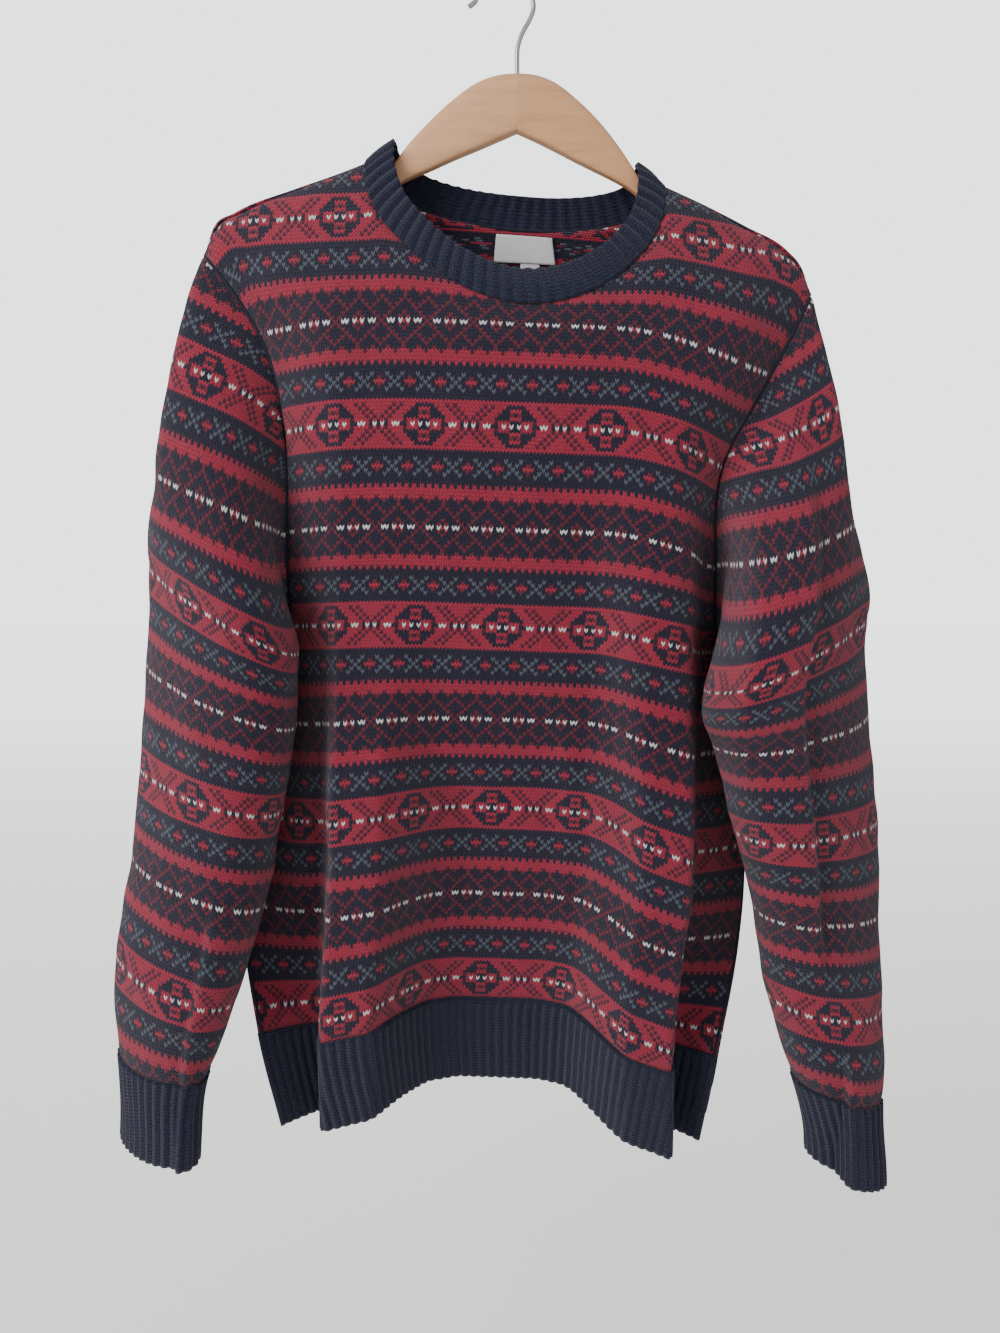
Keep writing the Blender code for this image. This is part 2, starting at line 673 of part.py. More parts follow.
def build_neck(front, back):
    """Neck ribbing: one ring on the neck edges of both panels, which are turned to meet it."""
    (FG, FN, FD), (BG, BN, BD) = front, back
    fn = np.flatnonzero(np.abs(FRONT_COLS) <= A_NECK + EDGE)
    bn = np.flatnonzero(np.abs(BACK_COLS) <= A_NECK + EDGE)
    f, b = FG[-1, fn].copy(), BG[-1, bn].copy()
    f[[0, -1], 1] = 0
    b[[0, -1]] = f[[0, -1]]
    kf, kb = shared(f, b[::-1], 2 * RIBS_NECK)
    seam = np.concatenate([along_line(f, kf), along_line(b[::-1], kb)])
    lean = neck_lean(seam)
    band = inward_of_band(seam, lean)
    for points, places, first, index, G, N, D in (
            (f, kf, 0, fn, FG, FN, FD), (b[::-1], kb, len(kf), bn[::-1], BG, BN, BD)):
        at = lengths(points)
        for i, s in zip(index[1:-1], at[1:-1]):
            k = first + int(np.argmin(np.abs(places * at[-1] - s)))
            D[-1, i] = between((G[-2, i] - G[-1, i], N[-1, i]), (lean[k], band[k]))
    turn = np.concatenate([turned_at(f, FD[-1, fn], kf), turned_at(b[::-1], BD[-1, bn][::-1], kb)])
    rows = [seam + lean * height for height in (2 * GAP, 0.1 * NECK_TALL, NECK_TALL)]
    ribbed("neck_rib", rows, 0, turn, RIB, WALL, flush=True)


def build_sleeve(side, name, loop):
    """A sleeve on its armhole and the ribbed cuff on the sleeve."""
    closed = np.concatenate([loop, loop[:1]])
    s = lengths(closed)
    G = sleeve_points(side, s / s[-1], closed)[:, :-1]
    N = grid_normals(G, True)
    mid = G.mean(axis=1, keepdims=True)
    if np.sum((N * (G - mid))[CAP_STEPS:]) < 0:
        N = -N
    D = -N
    D[0] = hole_inward(G[0], side)
    D[1] = unit(D[1] + 0.5 * D[0])
    out = G.copy()
    out[0] += GAP * 0.5 * unit(G[1] - G[0])
    out[0, :, 0] += side * GAP * 0.5
    out[-1] += GAP * 0.5 * unit(G[-2] - G[-1])
    shell("sleeve_" + name, out, out + D * WALL, wrap=True)

    base = np.concatenate([G[-1], G[-1][:1]])
    places = snapped(base, 2 * RIBS_CUFF)
    low = along_line(sleeve_ring(side, CUFF_ROWS[0]), places)
    high = along_line(base, places)
    high += GAP * 0.5 * unit(low - high)
    turn = turned_at(base, np.concatenate([D[-1], D[-1][:1]]), places)
    ribbed("cuff_" + name, [low, high], -1, turn, RIB, WALL)


# ---------------------------------------------------------------- labels
LABEL_LIFT = 1.0


def build_label(name, cols, rows, thick):
    """A ribbon on the wrong side of the back, at places across and rows, 1 mm clear of it."""
    G = np.array([[back_point(a, r) for a in cols] for r in rows])
    N = grid_normals(G, False)
    if N[..., 1].mean() > 0:
        N = -N                                  # towards the front, inside the neck
    lower = G + N * (WALL + LABEL_LIFT)
    shell(name, lower + N * thick, lower)


# ---------------------------------------------------------------- hanger
HANGER_L = [("x", "top", "bottom", "half"),
            (9.55, -68, -109.7, 7.0), (-4, -69.2, -115.4, 7.0), (-20, -74.5, -122, 7.0), (-37.5, -86, -129, 6.6),
            (-56, -102, -137, 6.0), (-75, -121.5, -145, 5.0), (-84, -133, -150, 4.4), (-101, -142.5, -160, 4.6),
            (-135, -151, -171, 5.4), (-170, -164.5, -184, 5.4), (-200, -177.5, -197, 5.2), (-212, -184, -201, 4.6),
            (-216, -189, -198, 3.2)]
HANGER_R = [("x", "top", "bottom", "half"),
            (9.85, -68, -109.7, 7.0), (23, -69.2, -115.4, 7.0), (38, -74.5, -122.5, 7.0), (54, -86, -130.5, 6.6),
            (76, -107, -141, 5.8), (90, -124.5, -148, 5.0), (98, -136, -153, 4.6), (106, -148, -160, 4.4), (123, -161, -173, 4.8),
            (150, -171, -187, 5.0), (182, -188, -205, 5.2), (204, -201, -219, 5.2), (213, -208, -221, 4.6),
            (216, -212, -218, 3.2)]


def build_wood(name, table):
    """One half of the hanger: rounded sections along the arm, closed at both ends."""
    rows = []
    for r in table[1:]:
        d = dict(zip(table[0], r))
        h, c = (d["top"] - d["bottom"]) / 2, (d["top"] + d["bottom"]) / 2
        ring = []
        for k in range(ROUND):
            t = 2 * pi * (k + 0.5) / ROUND
            sx = abs(cos(t)) ** 0.45 * (1 if cos(t) > 0 else -1)
            sz = abs(sin(t)) ** 0.62 * (1 if sin(t) > 0 else -1)
            ring.append((d["x"], d["half"] * sx, c + h * sz))
        rows.append(ring)
    P = np.array(rows)
    R = P.shape[0]
    faces = []
    for j in range(R - 1):
        for i in range(ROUND):
            k = (i + 1) % ROUND
            faces.append((j * ROUND + i, j * ROUND + k, (j + 1) * ROUND + k, (j + 1) * ROUND + i))
    faces.append(tuple(range(ROUND))[::-1])
    faces.append(tuple((R - 1) * ROUND + i for i in range(ROUND)))
    solid(name, P.reshape(-1, 3) * 0.001, faces)


def hook_path():
    """Stem, neck and bend of the hook, and its short turned-back tip."""
    pts = [(9.7, -67.6), (9.7, -60), (9.8, -52), (11.2, -44.5), (14.6, -36.5), (19.0, -29.0)]
    for k in range(0, 15):
        t = radians(168.0 * k / 14)
        pts.append((HOOK_BEND * cos(t), -HOOK_WIRE / 2 - 18.5 + HOOK_BEND * sin(t)))
    pts += [(-23.4, -17.6), (-26.4, -19.6)]
    return np.array([(x, 0.0, z) for x, z in pts])


def build_hook(name):
    """The wire hook: a poly curve with a round section and filled caps."""
    curve = bpy.data.curves.new(name, "CURVE")
    curve.dimensions = "3D"
    curve.bevel_depth = HOOK_WIRE / 2 * 0.001
    curve.bevel_resolution = 2
    curve.use_fill_caps = True
    line = curve.splines.new("POLY")
    path = hook_path()
    line.points.add(len(path) - 1)
    for point, place in zip(line.points, path):
        point.co = (*(place * 0.001), 1.0)
    JUMPER.objects.link(bpy.data.objects.new(name, curve))


# ---------------------------------------------------------------- colours
FINISH = [
    ("piece", "red", "green", "blue", "rough", "metal"),
    ("front", 0.022, 0.027, 0.045, 0.95, 0),
    ("back", 0.022, 0.027, 0.045, 0.95, 0),
    ("sleeve_left", 0.022, 0.027, 0.045, 0.95, 0),
    ("sleeve_right", 0.022, 0.027, 0.045, 0.95, 0),
    ("neck_rib", 0.016, 0.024, 0.055, 0.95, 0),
    ("hem_rib", 0.016, 0.024, 0.055, 0.95, 0),
    ("cuff_left", 0.016, 0.024, 0.055, 0.95, 0),
    ("cuff_right", 0.016, 0.024, 0.055, 0.95, 0),
    ("neck_label", 0.80, 0.80, 0.82, 0.6, 0),
    ("size_tab", 0.80, 0.80, 0.82, 0.6, 0),
    ("hanger_left", 0.64, 0.42, 0.23, 0.5, 0),
    ("hanger_right", 0.60, 0.39, 0.21, 0.5, 0),
    ("hanger_hook", 0.55, 0.55, 0.56, 0.35, 1),
]


def paint():
    """Give every piece its own material."""
    for line in FINISH[1:]:
        d = dict(zip(FINISH[0], line))
        material = bpy.data.materials.new(d["piece"])
        material.use_nodes = True
        skin = material.node_tree.nodes["Principled BSDF"]
        skin.inputs["Base Color"].default_value = (d["red"], d["green"], d["blue"], 1)
        skin.inputs["Roughness"].default_value = d["rough"]
        skin.inputs["Metallic"].default_value = d["metal"]
        bpy.data.objects[d["piece"]].data.materials.append(material)


for ob in list(bpy.data.objects):
    bpy.data.objects.remove(ob)
JUMPER = bpy.data.collections.new("jumper on hanger")
bpy.context.scene.collection.children.link(JUMPER)
build_garment()
build_label("neck_label", np.linspace(-0.065, 0.095, 7), np.linspace(217.6, 224.6, 3), 0.6)
build_label("size_tab", np.linspace(0.0, 0.052, 3), np.linspace(215.6, 217.4, 2), 0.5)
build_wood("hanger_left", HANGER_L)
build_wood("hanger_right", HANGER_R)
build_hook("hanger_hook")
paint()
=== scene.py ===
# %% [markdown]
# # A stranded-colour jumper on a wooden hanger
# The real thing is a machine-knitted wool jumper: front, back and two sleeves in a banded colour
# pattern, with plain ribbing sewn on at the neck, hem and cuffs.  It hangs open and empty on a
# bell-topped wooden hanger with a wire hook.  We load the solid model first.  It is the frame that
# every piece below has to fit, so nothing here moves or resizes it.

# %% Load the frame
from functools import lru_cache, partial
from math import cos, exp, pi, radians, sin, sqrt

import bmesh
import bpy
import numpy as np
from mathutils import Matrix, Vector, noise


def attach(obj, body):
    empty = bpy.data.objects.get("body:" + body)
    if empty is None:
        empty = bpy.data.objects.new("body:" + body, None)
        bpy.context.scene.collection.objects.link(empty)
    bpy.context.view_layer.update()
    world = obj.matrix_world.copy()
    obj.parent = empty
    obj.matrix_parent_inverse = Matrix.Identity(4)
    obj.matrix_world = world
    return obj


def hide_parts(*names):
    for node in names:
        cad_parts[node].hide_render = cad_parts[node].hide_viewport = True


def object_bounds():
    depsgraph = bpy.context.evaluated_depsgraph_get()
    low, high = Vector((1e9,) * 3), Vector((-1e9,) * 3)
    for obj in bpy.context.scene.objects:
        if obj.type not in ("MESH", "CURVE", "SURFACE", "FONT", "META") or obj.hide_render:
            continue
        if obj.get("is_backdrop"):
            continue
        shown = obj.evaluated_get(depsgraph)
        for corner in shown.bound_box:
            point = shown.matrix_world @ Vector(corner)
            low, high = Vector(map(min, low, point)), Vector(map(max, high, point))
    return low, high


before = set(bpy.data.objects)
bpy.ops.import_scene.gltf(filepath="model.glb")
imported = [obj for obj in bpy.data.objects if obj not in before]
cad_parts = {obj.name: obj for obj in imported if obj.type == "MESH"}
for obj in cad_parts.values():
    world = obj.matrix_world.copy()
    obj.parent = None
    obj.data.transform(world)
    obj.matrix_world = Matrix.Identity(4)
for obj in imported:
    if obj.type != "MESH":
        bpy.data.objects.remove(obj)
SOLID_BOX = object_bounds()
print("pieces of the solid model:", ", ".join(sorted(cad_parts)))

# %% [markdown]
# ## Camera, floor and light
# A jumper this wide is seen from under a metre away, a little from above.  The room is a pale floor
# under a pale sky of light, with one large soft lamp at the upper left so that the folds cast a
# gentle shade to the right.

# %% Camera
PICTURE = (1000, 1333)
FOCAL_PIXELS = 1001.0
CAMERA_PLACE = (-0.00316, -0.7977, -0.4329)
CAMERA_TILT = 84
camera = bpy.data.objects.new("camera", bpy.data.cameras.new("camera"))
bpy.context.scene.collection.objects.link(camera)
camera.data.sensor_width = 36.0
camera.data.lens = FOCAL_PIXELS * camera.data.sensor_width / PICTURE[1]
camera.location = CAMERA_PLACE
camera.rotation_euler = (radians(CAMERA_TILT), 0, 0)
bpy.context.scene.camera = camera
print("lens", round(camera.data.lens, 2), "mm")

# %% Floor, sky and lamps
# The room's white is brighter than the light that it throws on the cloth, as it looks to an eye that
# is used to the dark wool, so sky and floor glow only for rays that come straight from the camera.
FLOOR_Z = -1.30
FLOOR_HALF = 12.0
SKY_LIGHT = 0.60
SKY_SEEN = 2.45
FLOOR_SEEN = 2.04
FLOOR_GLOW_NEAR, FLOOR_GLOW_FAR = (0.33, 0.32, 0.31), (0.98, 0.99, 1.0)
FLOOR_FADE = (0.2, 5.0)       # metres behind the jumper between which the floor fades


def plain_material(name, colour, rough):
    """A Principled material with values on its own sockets."""
    material = bpy.data.materials.new(name)
    material.use_nodes = True
    skin = material.node_tree.nodes["Principled BSDF"]
    skin.inputs["Base Color"].default_value = (*colour, 1)
    skin.inputs["Roughness"].default_value = rough
    return material, skin


def glow_when_seen(tree, steady, extra, socket):
    """Strength steady for light, with extra added where the eye sees it directly."""
    path = tree.nodes.new("ShaderNodeLightPath")
    add = tree.nodes.new("ShaderNodeMath")
    add.operation = "MULTIPLY_ADD"
    add.inputs[1].default_value = extra
    add.inputs[2].default_value = steady
    tree.links.new(path.outputs["Is Camera Ray"], add.inputs[0])
    tree.links.new(add.outputs[0], socket)


def lay_floor():
    bm = bmesh.new()
    bmesh.ops.create_grid(bm, x_segments=1, y_segments=1, size=FLOOR_HALF)
    bmesh.ops.translate(bm, verts=bm.verts, vec=(0, 0, FLOOR_Z))
    mesh = bpy.data.meshes.new("floor")
    bm.to_mesh(mesh)
    bm.free()
    floor = bpy.data.objects.new("floor", mesh)
    bpy.context.scene.collection.objects.link(floor)
    material, skin = plain_material("pale floor", (0.80, 0.81, 0.80), 0.9)
    glow_when_seen(material.node_tree, 0.0, FLOOR_SEEN, skin.inputs["Emission Strength"])
    # the floor's painted glow is a little greyer near the jumper than far away, where it meets the sky
    tree = material.node_tree
    where = tree.nodes.new("ShaderNodeTexCoord")
    split = tree.nodes.new("ShaderNodeSeparateXYZ")
    tree.links.new(where.outputs["Object"], split.inputs[0])
    away = tree.nodes.new("ShaderNodeMapRange")
    away.inputs["From Min"].default_value, away.inputs["From Max"].default_value = FLOOR_FADE
    tree.links.new(split.outputs["Y"], away.inputs["Value"])
    glow_tint = tree.nodes.new("ShaderNodeMix")
    glow_tint.data_type = "RGBA"
    glow_tint.inputs["A"].default_value = (*FLOOR_GLOW_NEAR, 1)
    glow_tint.inputs["B"].default_value = (*FLOOR_GLOW_FAR, 1)
    tree.links.new(away.outputs["Result"], glow_tint.inputs["Factor"])
    tree.links.new(glow_tint.outputs["Result"], skin.inputs["Emission Color"])
    floor.data.materials.append(material)
    floor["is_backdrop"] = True


def hang_lamp(name, place, aim, size, watts, colour):
    """A square soft lamp at a place, turned to look at a point."""
    lamp = bpy.data.objects.new(name, bpy.data.lights.new(name, "AREA"))
    bpy.context.scene.collection.objects.link(lamp)
    lamp.data.size = size
    lamp.data.energy = watts
    lamp.data.color = colour
    lamp.location = place
    lamp.rotation_euler = (Vector(aim) - Vector(place)).to_track_quat("-Z", "Y").to_euler()


lay_floor()
hang_lamp("window", (-1.7, -1.5, 0.55), (0, 0, -0.45), 1.5, 50, (1.0, 0.99, 0.97))
hang_lamp("fill", (1.5, -1.8, -0.2), (0, 0, -0.5), 1.8, 5, (0.96, 0.98, 1.0))
sky = bpy.data.worlds.new("pale sky")
sky.use_nodes = True
shine = sky.node_tree.nodes["Background"]
shine.inputs["Color"].default_value = (0.80, 0.82, 0.82, 1)
glow_when_seen(sky.node_tree, SKY_LIGHT, SKY_SEEN, shine.inputs["Strength"])
bpy.context.scene.world = sky
print("lamps:", ", ".join(light.name for light in bpy.data.lights))

# %% [markdown]
# ## The form of the hanging cloth
# Knitting is counted in stitches across and rows up, so the cloth is laid out in the same way: each
# row of the body is a plan curve with its folds, and each row of a sleeve is a closed ring.  The
# tables hold one line for each height or fold, in millimetres, and smooth curves join the lines.
# The solids were made from the same tables, so the fine cloth lies where they do.

# %% Sizes of the knitting
MM = 0.001
WALE = 2.8            # width of one stitch
COURSE = 2.73         # height of one row of knitting on the body
WALL = 2.0            # thickness of the knitted cloth
EDGE = 1e-6           # smallest step that still counts as inside an edge

ROWS_ARMPIT = 116     # rows from the hem rib to the underarm
ROWS_YOKE = 195.0     # rows above which the cloth is drawn up to the shoulders
ROWS_SHOULDER = 222   # rows to the shoulder end
ROWS_NECK = 240       # rows to the shoulder at the neck
ROWS_DIP = 203.5      # rows to the bottom of the front neck
BACK_DIP = 14.0       # rows that the back neck dips
ROW_SLEEVE = 133.0    # rows from the cuff to where the sleeve's tube starts

HALF_WIDTH = 232.0    # half width of the body across the shoulders, along the cloth
NECK_HALF = 110       # half width of the neck hole, along the cloth
A_NECK = NECK_HALF / HALF_WIDTH
OVER = 9.0            # half thickness of the jumper where it lies over the hanger
FALL_EDGE = 1.6       # rows in which a panel turns over that edge
FALL_FRONT = 14.0     # rows in which the front comes away from the hanger below it
FALL_BACK = 10.0      # the same for the back
TILT = 0.035          # the whole jumper hangs a little lower at the viewer's right
NECK = dict(x=11.0, rim=-138.0, front=-243.5, back=-172.0)
NECK_Y = -8.0         # how far forward the middle of the neck hole lies
SHOULDER = dict(x=13, left=243, right=223)
BACK_CLOTH = 250.0    # half width of the back, along the cloth


# %% Curves, lines of points and directions
def smooth(t):
    t = np.clip(t, 0.0, 1.0)
    return t * t * (3 - 2 * t)


def unit(v):
    n = np.linalg.norm(v, axis=-1, keepdims=True)
    return v / np.where(n < 1e-9, 1.0, n)


def lengths(points):
    """Length along a line of points, from its first point to each of them."""
    return np.concatenate([[0], np.cumsum(np.linalg.norm(np.diff(points, axis=0), axis=1))])


def along_line(points, share):
    """Places at shares of a line's length."""
    s = lengths(points)
    return np.stack([np.interp(share * s[-1], s, points[:, k]) for k in range(3)], -1)


LINES = {}


def lines_of(table, column):
    """Places, values and slopes of a named column; a table is read only once."""
    key = (id(table), column)
    if key not in LINES:
        k = table[0].index(column)
        at = np.array([line[0] for line in table[1:]], float)
        value = np.array([line[k] for line in table[1:]], float)
        LINES[key] = (table, at, value, np.gradient(value, at))
    return LINES[key][1:]


def track(table, column, at):
    """Smooth value of a named column of a table whose first column is the place."""
    xs, ys, slope = lines_of(table, column)
    if np.ndim(at) == 0:
        at = min(max(float(at), xs[0]), xs[-1])
        j = min(max(int(xs.searchsorted(at, side="right")) - 1, 0), len(xs) - 2)
    else:
        at = np.clip(np.asarray(at, float), xs[0], xs[-1])
        j = np.clip(xs.searchsorted(at, side="right") - 1, 0, len(xs) - 2)
    h = xs[j + 1] - xs[j]
    t = (at - xs[j]) / h
    return ((1 + 2 * t) * (1 - t) ** 2 * ys[j] + t * (1 - t) ** 2 * h * slope[j]
            + t * t * (3 - 2 * t) * ys[j + 1] + t * t * (t - 1) * h * slope[j + 1])


def value(table, column, place):
    """One value of a column of a table."""
    return float(track(table, column, place))


# %% Tables of the body
# One line for each height of the body: rows above the hem rib, height and middle of the front, how
# far it reaches to each side before it turns back, where the side seam lies, and how much lower than
# the middle each side hangs.
BODY = [
    ("row", "z", "x", "y", "reach_l", "reach_r", "seam_y", "drop_l", "drop_r"),
    (-28, -871.5, -21, 14, 160, 181, -20, 30, 31),
    (0, -797.5, -20, 8, 179, 194, -18, 26, 32),
    (30, -714, -14, 0, 205, 212, 16, 22, 34),
    (60, -632, -10, -10, 188, 213, 24, 20, 32),
    (90, -551, -5, -20, 180, 192, 24, 14, 24),
    (116, -480.5, -1, -30, 172, 174, 12, 8, 16),
    (126, -453, 2, -34, 173, 166, -4, 8, 18),
    (141, -412, 4, -39, 174, 162, -10, 8, 24),
    (168, -337, 8, -47, 177, 160, -14, 7, 24),
    (195, -263, 11, -48, 196, 192, -14, 8, 24),
    (212, -217, 13, -43, 224, 212, -14, 10, 24),
    (222, -190, 13, -38, 243, 223, -14, 10, 24),
    (240, -141, 13, -30, 243, 223, -14, 10, 24),
]
# Large folds of the front: place of the crest and how far it comes forward at three heights, how wide
# its inner slope, its flat nose and its outer fall are, how far it leans out, and the row it ends at.
FOLDS = [
    ("name", "x_hem", "x_mid", "x_chest", "forward_hem", "forward_mid", "forward_chest",
     "slope", "nose", "fall", "lean", "ends"),
    ("left crest", -136, -128, -124, 62, 42, 6, 46, 32, 20, -5, 130),
    ("right crest", 122, 136, 138, 60, 46, 24, 46, 30, 20, 7, 176),
    ("left ripple", -68, -64, -50, 8, 7, 0, 26, 6, 26, 0, 120),
    ("right ripple", 60, 66, 60, 8, 7, 0, 30, 6, 26, 0, 120),
]
# Height of each shoulder, from its end to the neck and from the neck to its end.
SHOULDER_L = [
    ("x", "z"),
    (-230, -197), (-222, -181), (-200, -167), (-158, -150.4), (-120, -136.5), (-101, -129),
]
SHOULDER_R = [
    ("x", "z"),
    (123, -148), (150, -160.5), (182, -177.5), (214, -195.5), (229, -211), (237, -228),
]


# %% A row of the body, with its folds
FOLD_ROWS = 114.0     # rows from the first to the last of a fold's three heights
TURN_FROM = 0.72      # share of the half width after which a row turns to the side seam
TURN_LONG = 0.28      # the rest of it, in which it turns


def fold_push(x, row, folds):
    """Forward and sideways move of the cloth at x, from every fold."""
    forward, aside = np.zeros_like(x), np.zeros_like(x)
    for f in folds[1:]:
        d = dict(zip(folds[0], f))
        t = row / FOLD_ROWS
        if t < 0.5:
            w = smooth(max(t, 0.0) * 2)
            cx = d["x_hem"] * (1 - w) + d["x_mid"] * w
            amount = d["forward_hem"] * (1 - w) + d["forward_mid"] * w
        else:
            w = smooth((t - 0.5) * 2)
            cx = d["x_mid"] * (1 - w) + d["x_chest"] * w
            amount = d["forward_mid"] * (1 - w) + d["forward_chest"] * w
        amount = amount * (1 - smooth((row - FOLD_ROWS) / max(d["ends"] - FOLD_ROWS, 1.0)))
        out = 1.0 if cx > 0 else -1.0
        s = (x - cx) * out                      # outward from the crest
        inner = smooth((s + d["nose"] + d["slope"]) / d["slope"])
        outer = 1 - smooth(s / d["fall"])
        bump = inner * outer
        forward += amount * bump
        aside += d["lean"] * bump * amount / 60.0
    return forward, aside


@lru_cache(maxsize=None)
def body_curve(row, n=420):
    """Front of the body at one row as a plan curve from left seam to right seam:
    place along the cloth from the middle, x, y."""
    xc, yc, ys = (value(BODY, column, row) for column in ("x", "y", "seam_y"))
    t = np.linspace(-1, 1, n)
    x = np.where(t < 0, value(BODY, "reach_l", row), value(BODY, "reach_r", row)) * t
    # a gentle arch, then the turn towards the seam
    edge = np.clip((np.abs(t) - TURN_FROM) / TURN_LONG, 0, 1)
    y = yc + (ys - yc) * (0.10 * np.abs(t) ** 2 + 0.90 * edge ** 1.6)
    forward, aside = fold_push(x + xc, row, FOLDS)
    X = xc + x + aside
    Y = y - forward
    s = lengths(np.stack([X, Y], -1))
    mid = np.interp(xc, X[n // 3: 2 * n // 3], s[n // 3: 2 * n // 3])
    return s - mid, X, Y


def shoulder_row(u):
    """Rows up to the shoulder line at a place across the cloth."""
    a = np.clip((np.abs(u) - NECK_HALF) / (HALF_WIDTH - NECK_HALF), 0, 1)
    return ROWS_NECK - (ROWS_NECK - ROWS_SHOULDER) * a


def neck_row(u):
    """Rows up to the front neck edge."""
    c = np.sqrt(np.clip(1 - (u / NECK_HALF) ** 2, 0, 1))
    return ROWS_NECK - (ROWS_NECK - ROWS_DIP) * c


def front_top(u):
    return np.where(np.abs(u) < NECK_HALF, neck_row(u), shoulder_row(u))


# %% Heights of the body, neck and shoulders
def shoulder_z(x):
    """Height of the shoulders at x; a straight line joins them across the neck."""
    (x1, z1), (x2, z2) = SHOULDER_L[-1], SHOULDER_R[1]
    left = track(SHOULDER_L, "z", np.minimum(x, x1))
    right = track(SHOULDER_R, "z", np.maximum(x, x2))
    across = z1 + (z2 - z1) * ((x - x1) / float(x2 - x1))
    return np.where(x < x1, left, np.where(x > x2, right, across))


def neck_z(a, x, deep):
    """Height of the neck edge: an ellipse hung from the shoulder line."""
    c = np.sqrt(np.clip(1 - (a / A_NECK) ** 2, 0, 1))
    return shoulder_z(x) + (deep - NECK["rim"]) * c


def row_z(row, u, x, xc):
    """Height of a row of the front: level rows, tilted, hanging lower at the sides."""
    z = track(BODY, "z", row)
    return (z - TILT * (x - xc)
            - track(BODY, "drop_l", row) * smooth((-u - 70) / 150)
            - track(BODY, "drop_r", row) * smooth((u - 70) / 130))


def from_middle(s, a):
    """Length along a row from its middle, at a place from -1 (left edge) to 1."""
    return a * abs(s[0]) if a < 0 else a * s[-1]


def top_z(a, x, deep):
    """Height of a panel's top edge, at the neck or on the shoulder."""
    return float(neck_z(a, x, deep)) if abs(a) < A_NECK else float(shoulder_z(x))


def over_hanger(a, row, y, out, soft):
    """The cloth comes back over the hanger at the shoulder line."""
    below = max(float(shoulder_row(a * HALF_WIDTH)) - row, 0.0)
    return out * (1 - exp(-below / FALL_EDGE)) + (y - out) * (1 - exp(-below / soft))


def front_point(a, row):
    """A point of the front's outer face, at a place from -1 to 1 and a row, and the
    length of cloth between it and the middle."""
    s, X, Y = body_curve(row)
    u = from_middle(s, a)
    x, y = float(np.interp(u, s, X)), float(np.interp(u, s, Y))
    if row <= ROWS_YOKE:
        z = float(row_z(row, u, x, value(BODY, "x", row)))
    else:
        s1, X1, Y1 = body_curve(ROWS_YOKE)
        u1 = from_middle(s1, a)
        z1 = float(row_z(ROWS_YOKE, u1, float(np.interp(u1, s1, X1)), value(BODY, "x", ROWS_YOKE)))
        zt = top_z(a, top_x(a), NECK["front"])
        z = z1 + (zt - z1) * (row - ROWS_YOKE) / (float(top_row(a)) - ROWS_YOKE)
    return np.array([x, over_hanger(a, row, y, -OVER, FALL_FRONT), z]), u


def top_row(a):
    return front_top(a * HALF_WIDTH)


def top_x(a):
    s, X, Y = body_curve(float(top_row(a)))
    return float(np.interp(from_middle(s, a), s, X))


def front_edge_point(a):
    """A point of the front's top edge."""
    return front_point(a, float(top_row(a)) - EDGE)[0]


# %% The back
# One line for each height: how far back the cloth lies, its reach to each side, where the armhole's
# edge lies, and a slow wave across it.
BACK = [
    ("row", "y", "reach_l", "reach_r", "edge_y", "wave"),
    (-28, 44, 174, 172, 26, 10),
    (0, 48, 174, 172, 26, 12),
    (60, 60, 174, 172, 26, 10),
    (116, 56, 174, 172, 26, 6),
    (126, 54, 176, 170, 28, 5),
    (141, 49, 178, 168, 26, 4),
    (168, 44, 182, 170, 24, 3),
    (195, 38, 200, 194, 20, 2),
    (212, 33, 226, 213, 16, 1),
    (222, 32, 243, 223, 14, 0),
    (240, 28, 243, 223, 14, 0),
]


def back_top(a):
    u = a * HALF_WIDTH
    c = sqrt(max(1 - (u / NECK_HALF) ** 2, 0.0)) if abs(u) < NECK_HALF else 0.0
    return float(shoulder_row(u)) - BACK_DIP * c


@lru_cache(maxsize=None)
def body_edges(row):
    """Left and right edge of the body at a row."""
    return front_point(-1.0, row)[0], front_point(1.0, row)[0]


def back_edge(a, row):
    """Edge of the back on the side of a: the front's own edge, and above the underarm
    a smoother one."""
    x, y, _ = body_edges(min(row, ROWS_SHOULDER - 0.01))[a >= 0]
    if row > ROWS_ARMPIT:
        k = smooth((row - ROWS_ARMPIT) / 10.0)
        reach = -value(BACK, "reach_l", row) if a < 0 else value(BACK, "reach_r", row)
        x = x * (1 - k) + (value(BODY, "x", row) + reach) * k
        y = y * (1 - k) + value(BACK, "edge_y", row) * k
    return x, y


def back_z(a, row):
    """Height of a row of the back: the front's middle, bent to the front's edges."""
    middle = value(BODY, "z", row)
    edge = body_edges(min(row, ROWS_SHOULDER - 0.01))[a >= 0]
    return middle + (edge[2] - middle) * abs(a) ** 1.5


def back_point(a, row):
    """A point of the back's outer face, and its place across in millimetres of cloth."""
    xc = value(BODY, "x", row)
    xe, ye = back_edge(a, row)
    far, swell = sin(abs(a) * pi / 2), cos(abs(a) * pi / 2)
    square = float(smooth((ROWS_NECK - row) / 60.0))     # the turn at the side seam
    far = abs(a) + (far ** 0.85 - abs(a)) * square
    swell = max(swell, 0.0) ** 0.7
    wave = value(BACK, "wave", row) * cos(a * 3.0 * pi) * swell ** 2
    y = ye + (value(BACK, "y", row) - ye) * swell + wave
    if row <= ROWS_YOKE:
        z = back_z(a, row)
    else:
        z1 = back_z(a, ROWS_YOKE)
        zt = top_z(a, SHOULDER["x"] + a * SHOULDER["left" if a < 0 else "right"], NECK["back"])
        z = z1 + (zt - z1) * (row - ROWS_YOKE) / (back_top(a) - ROWS_YOKE)
    x = xc + (xe - xc) * far
    return np.array([x, over_hanger(a, row, y, OVER, FALL_BACK), z]), a * BACK_CLOTH


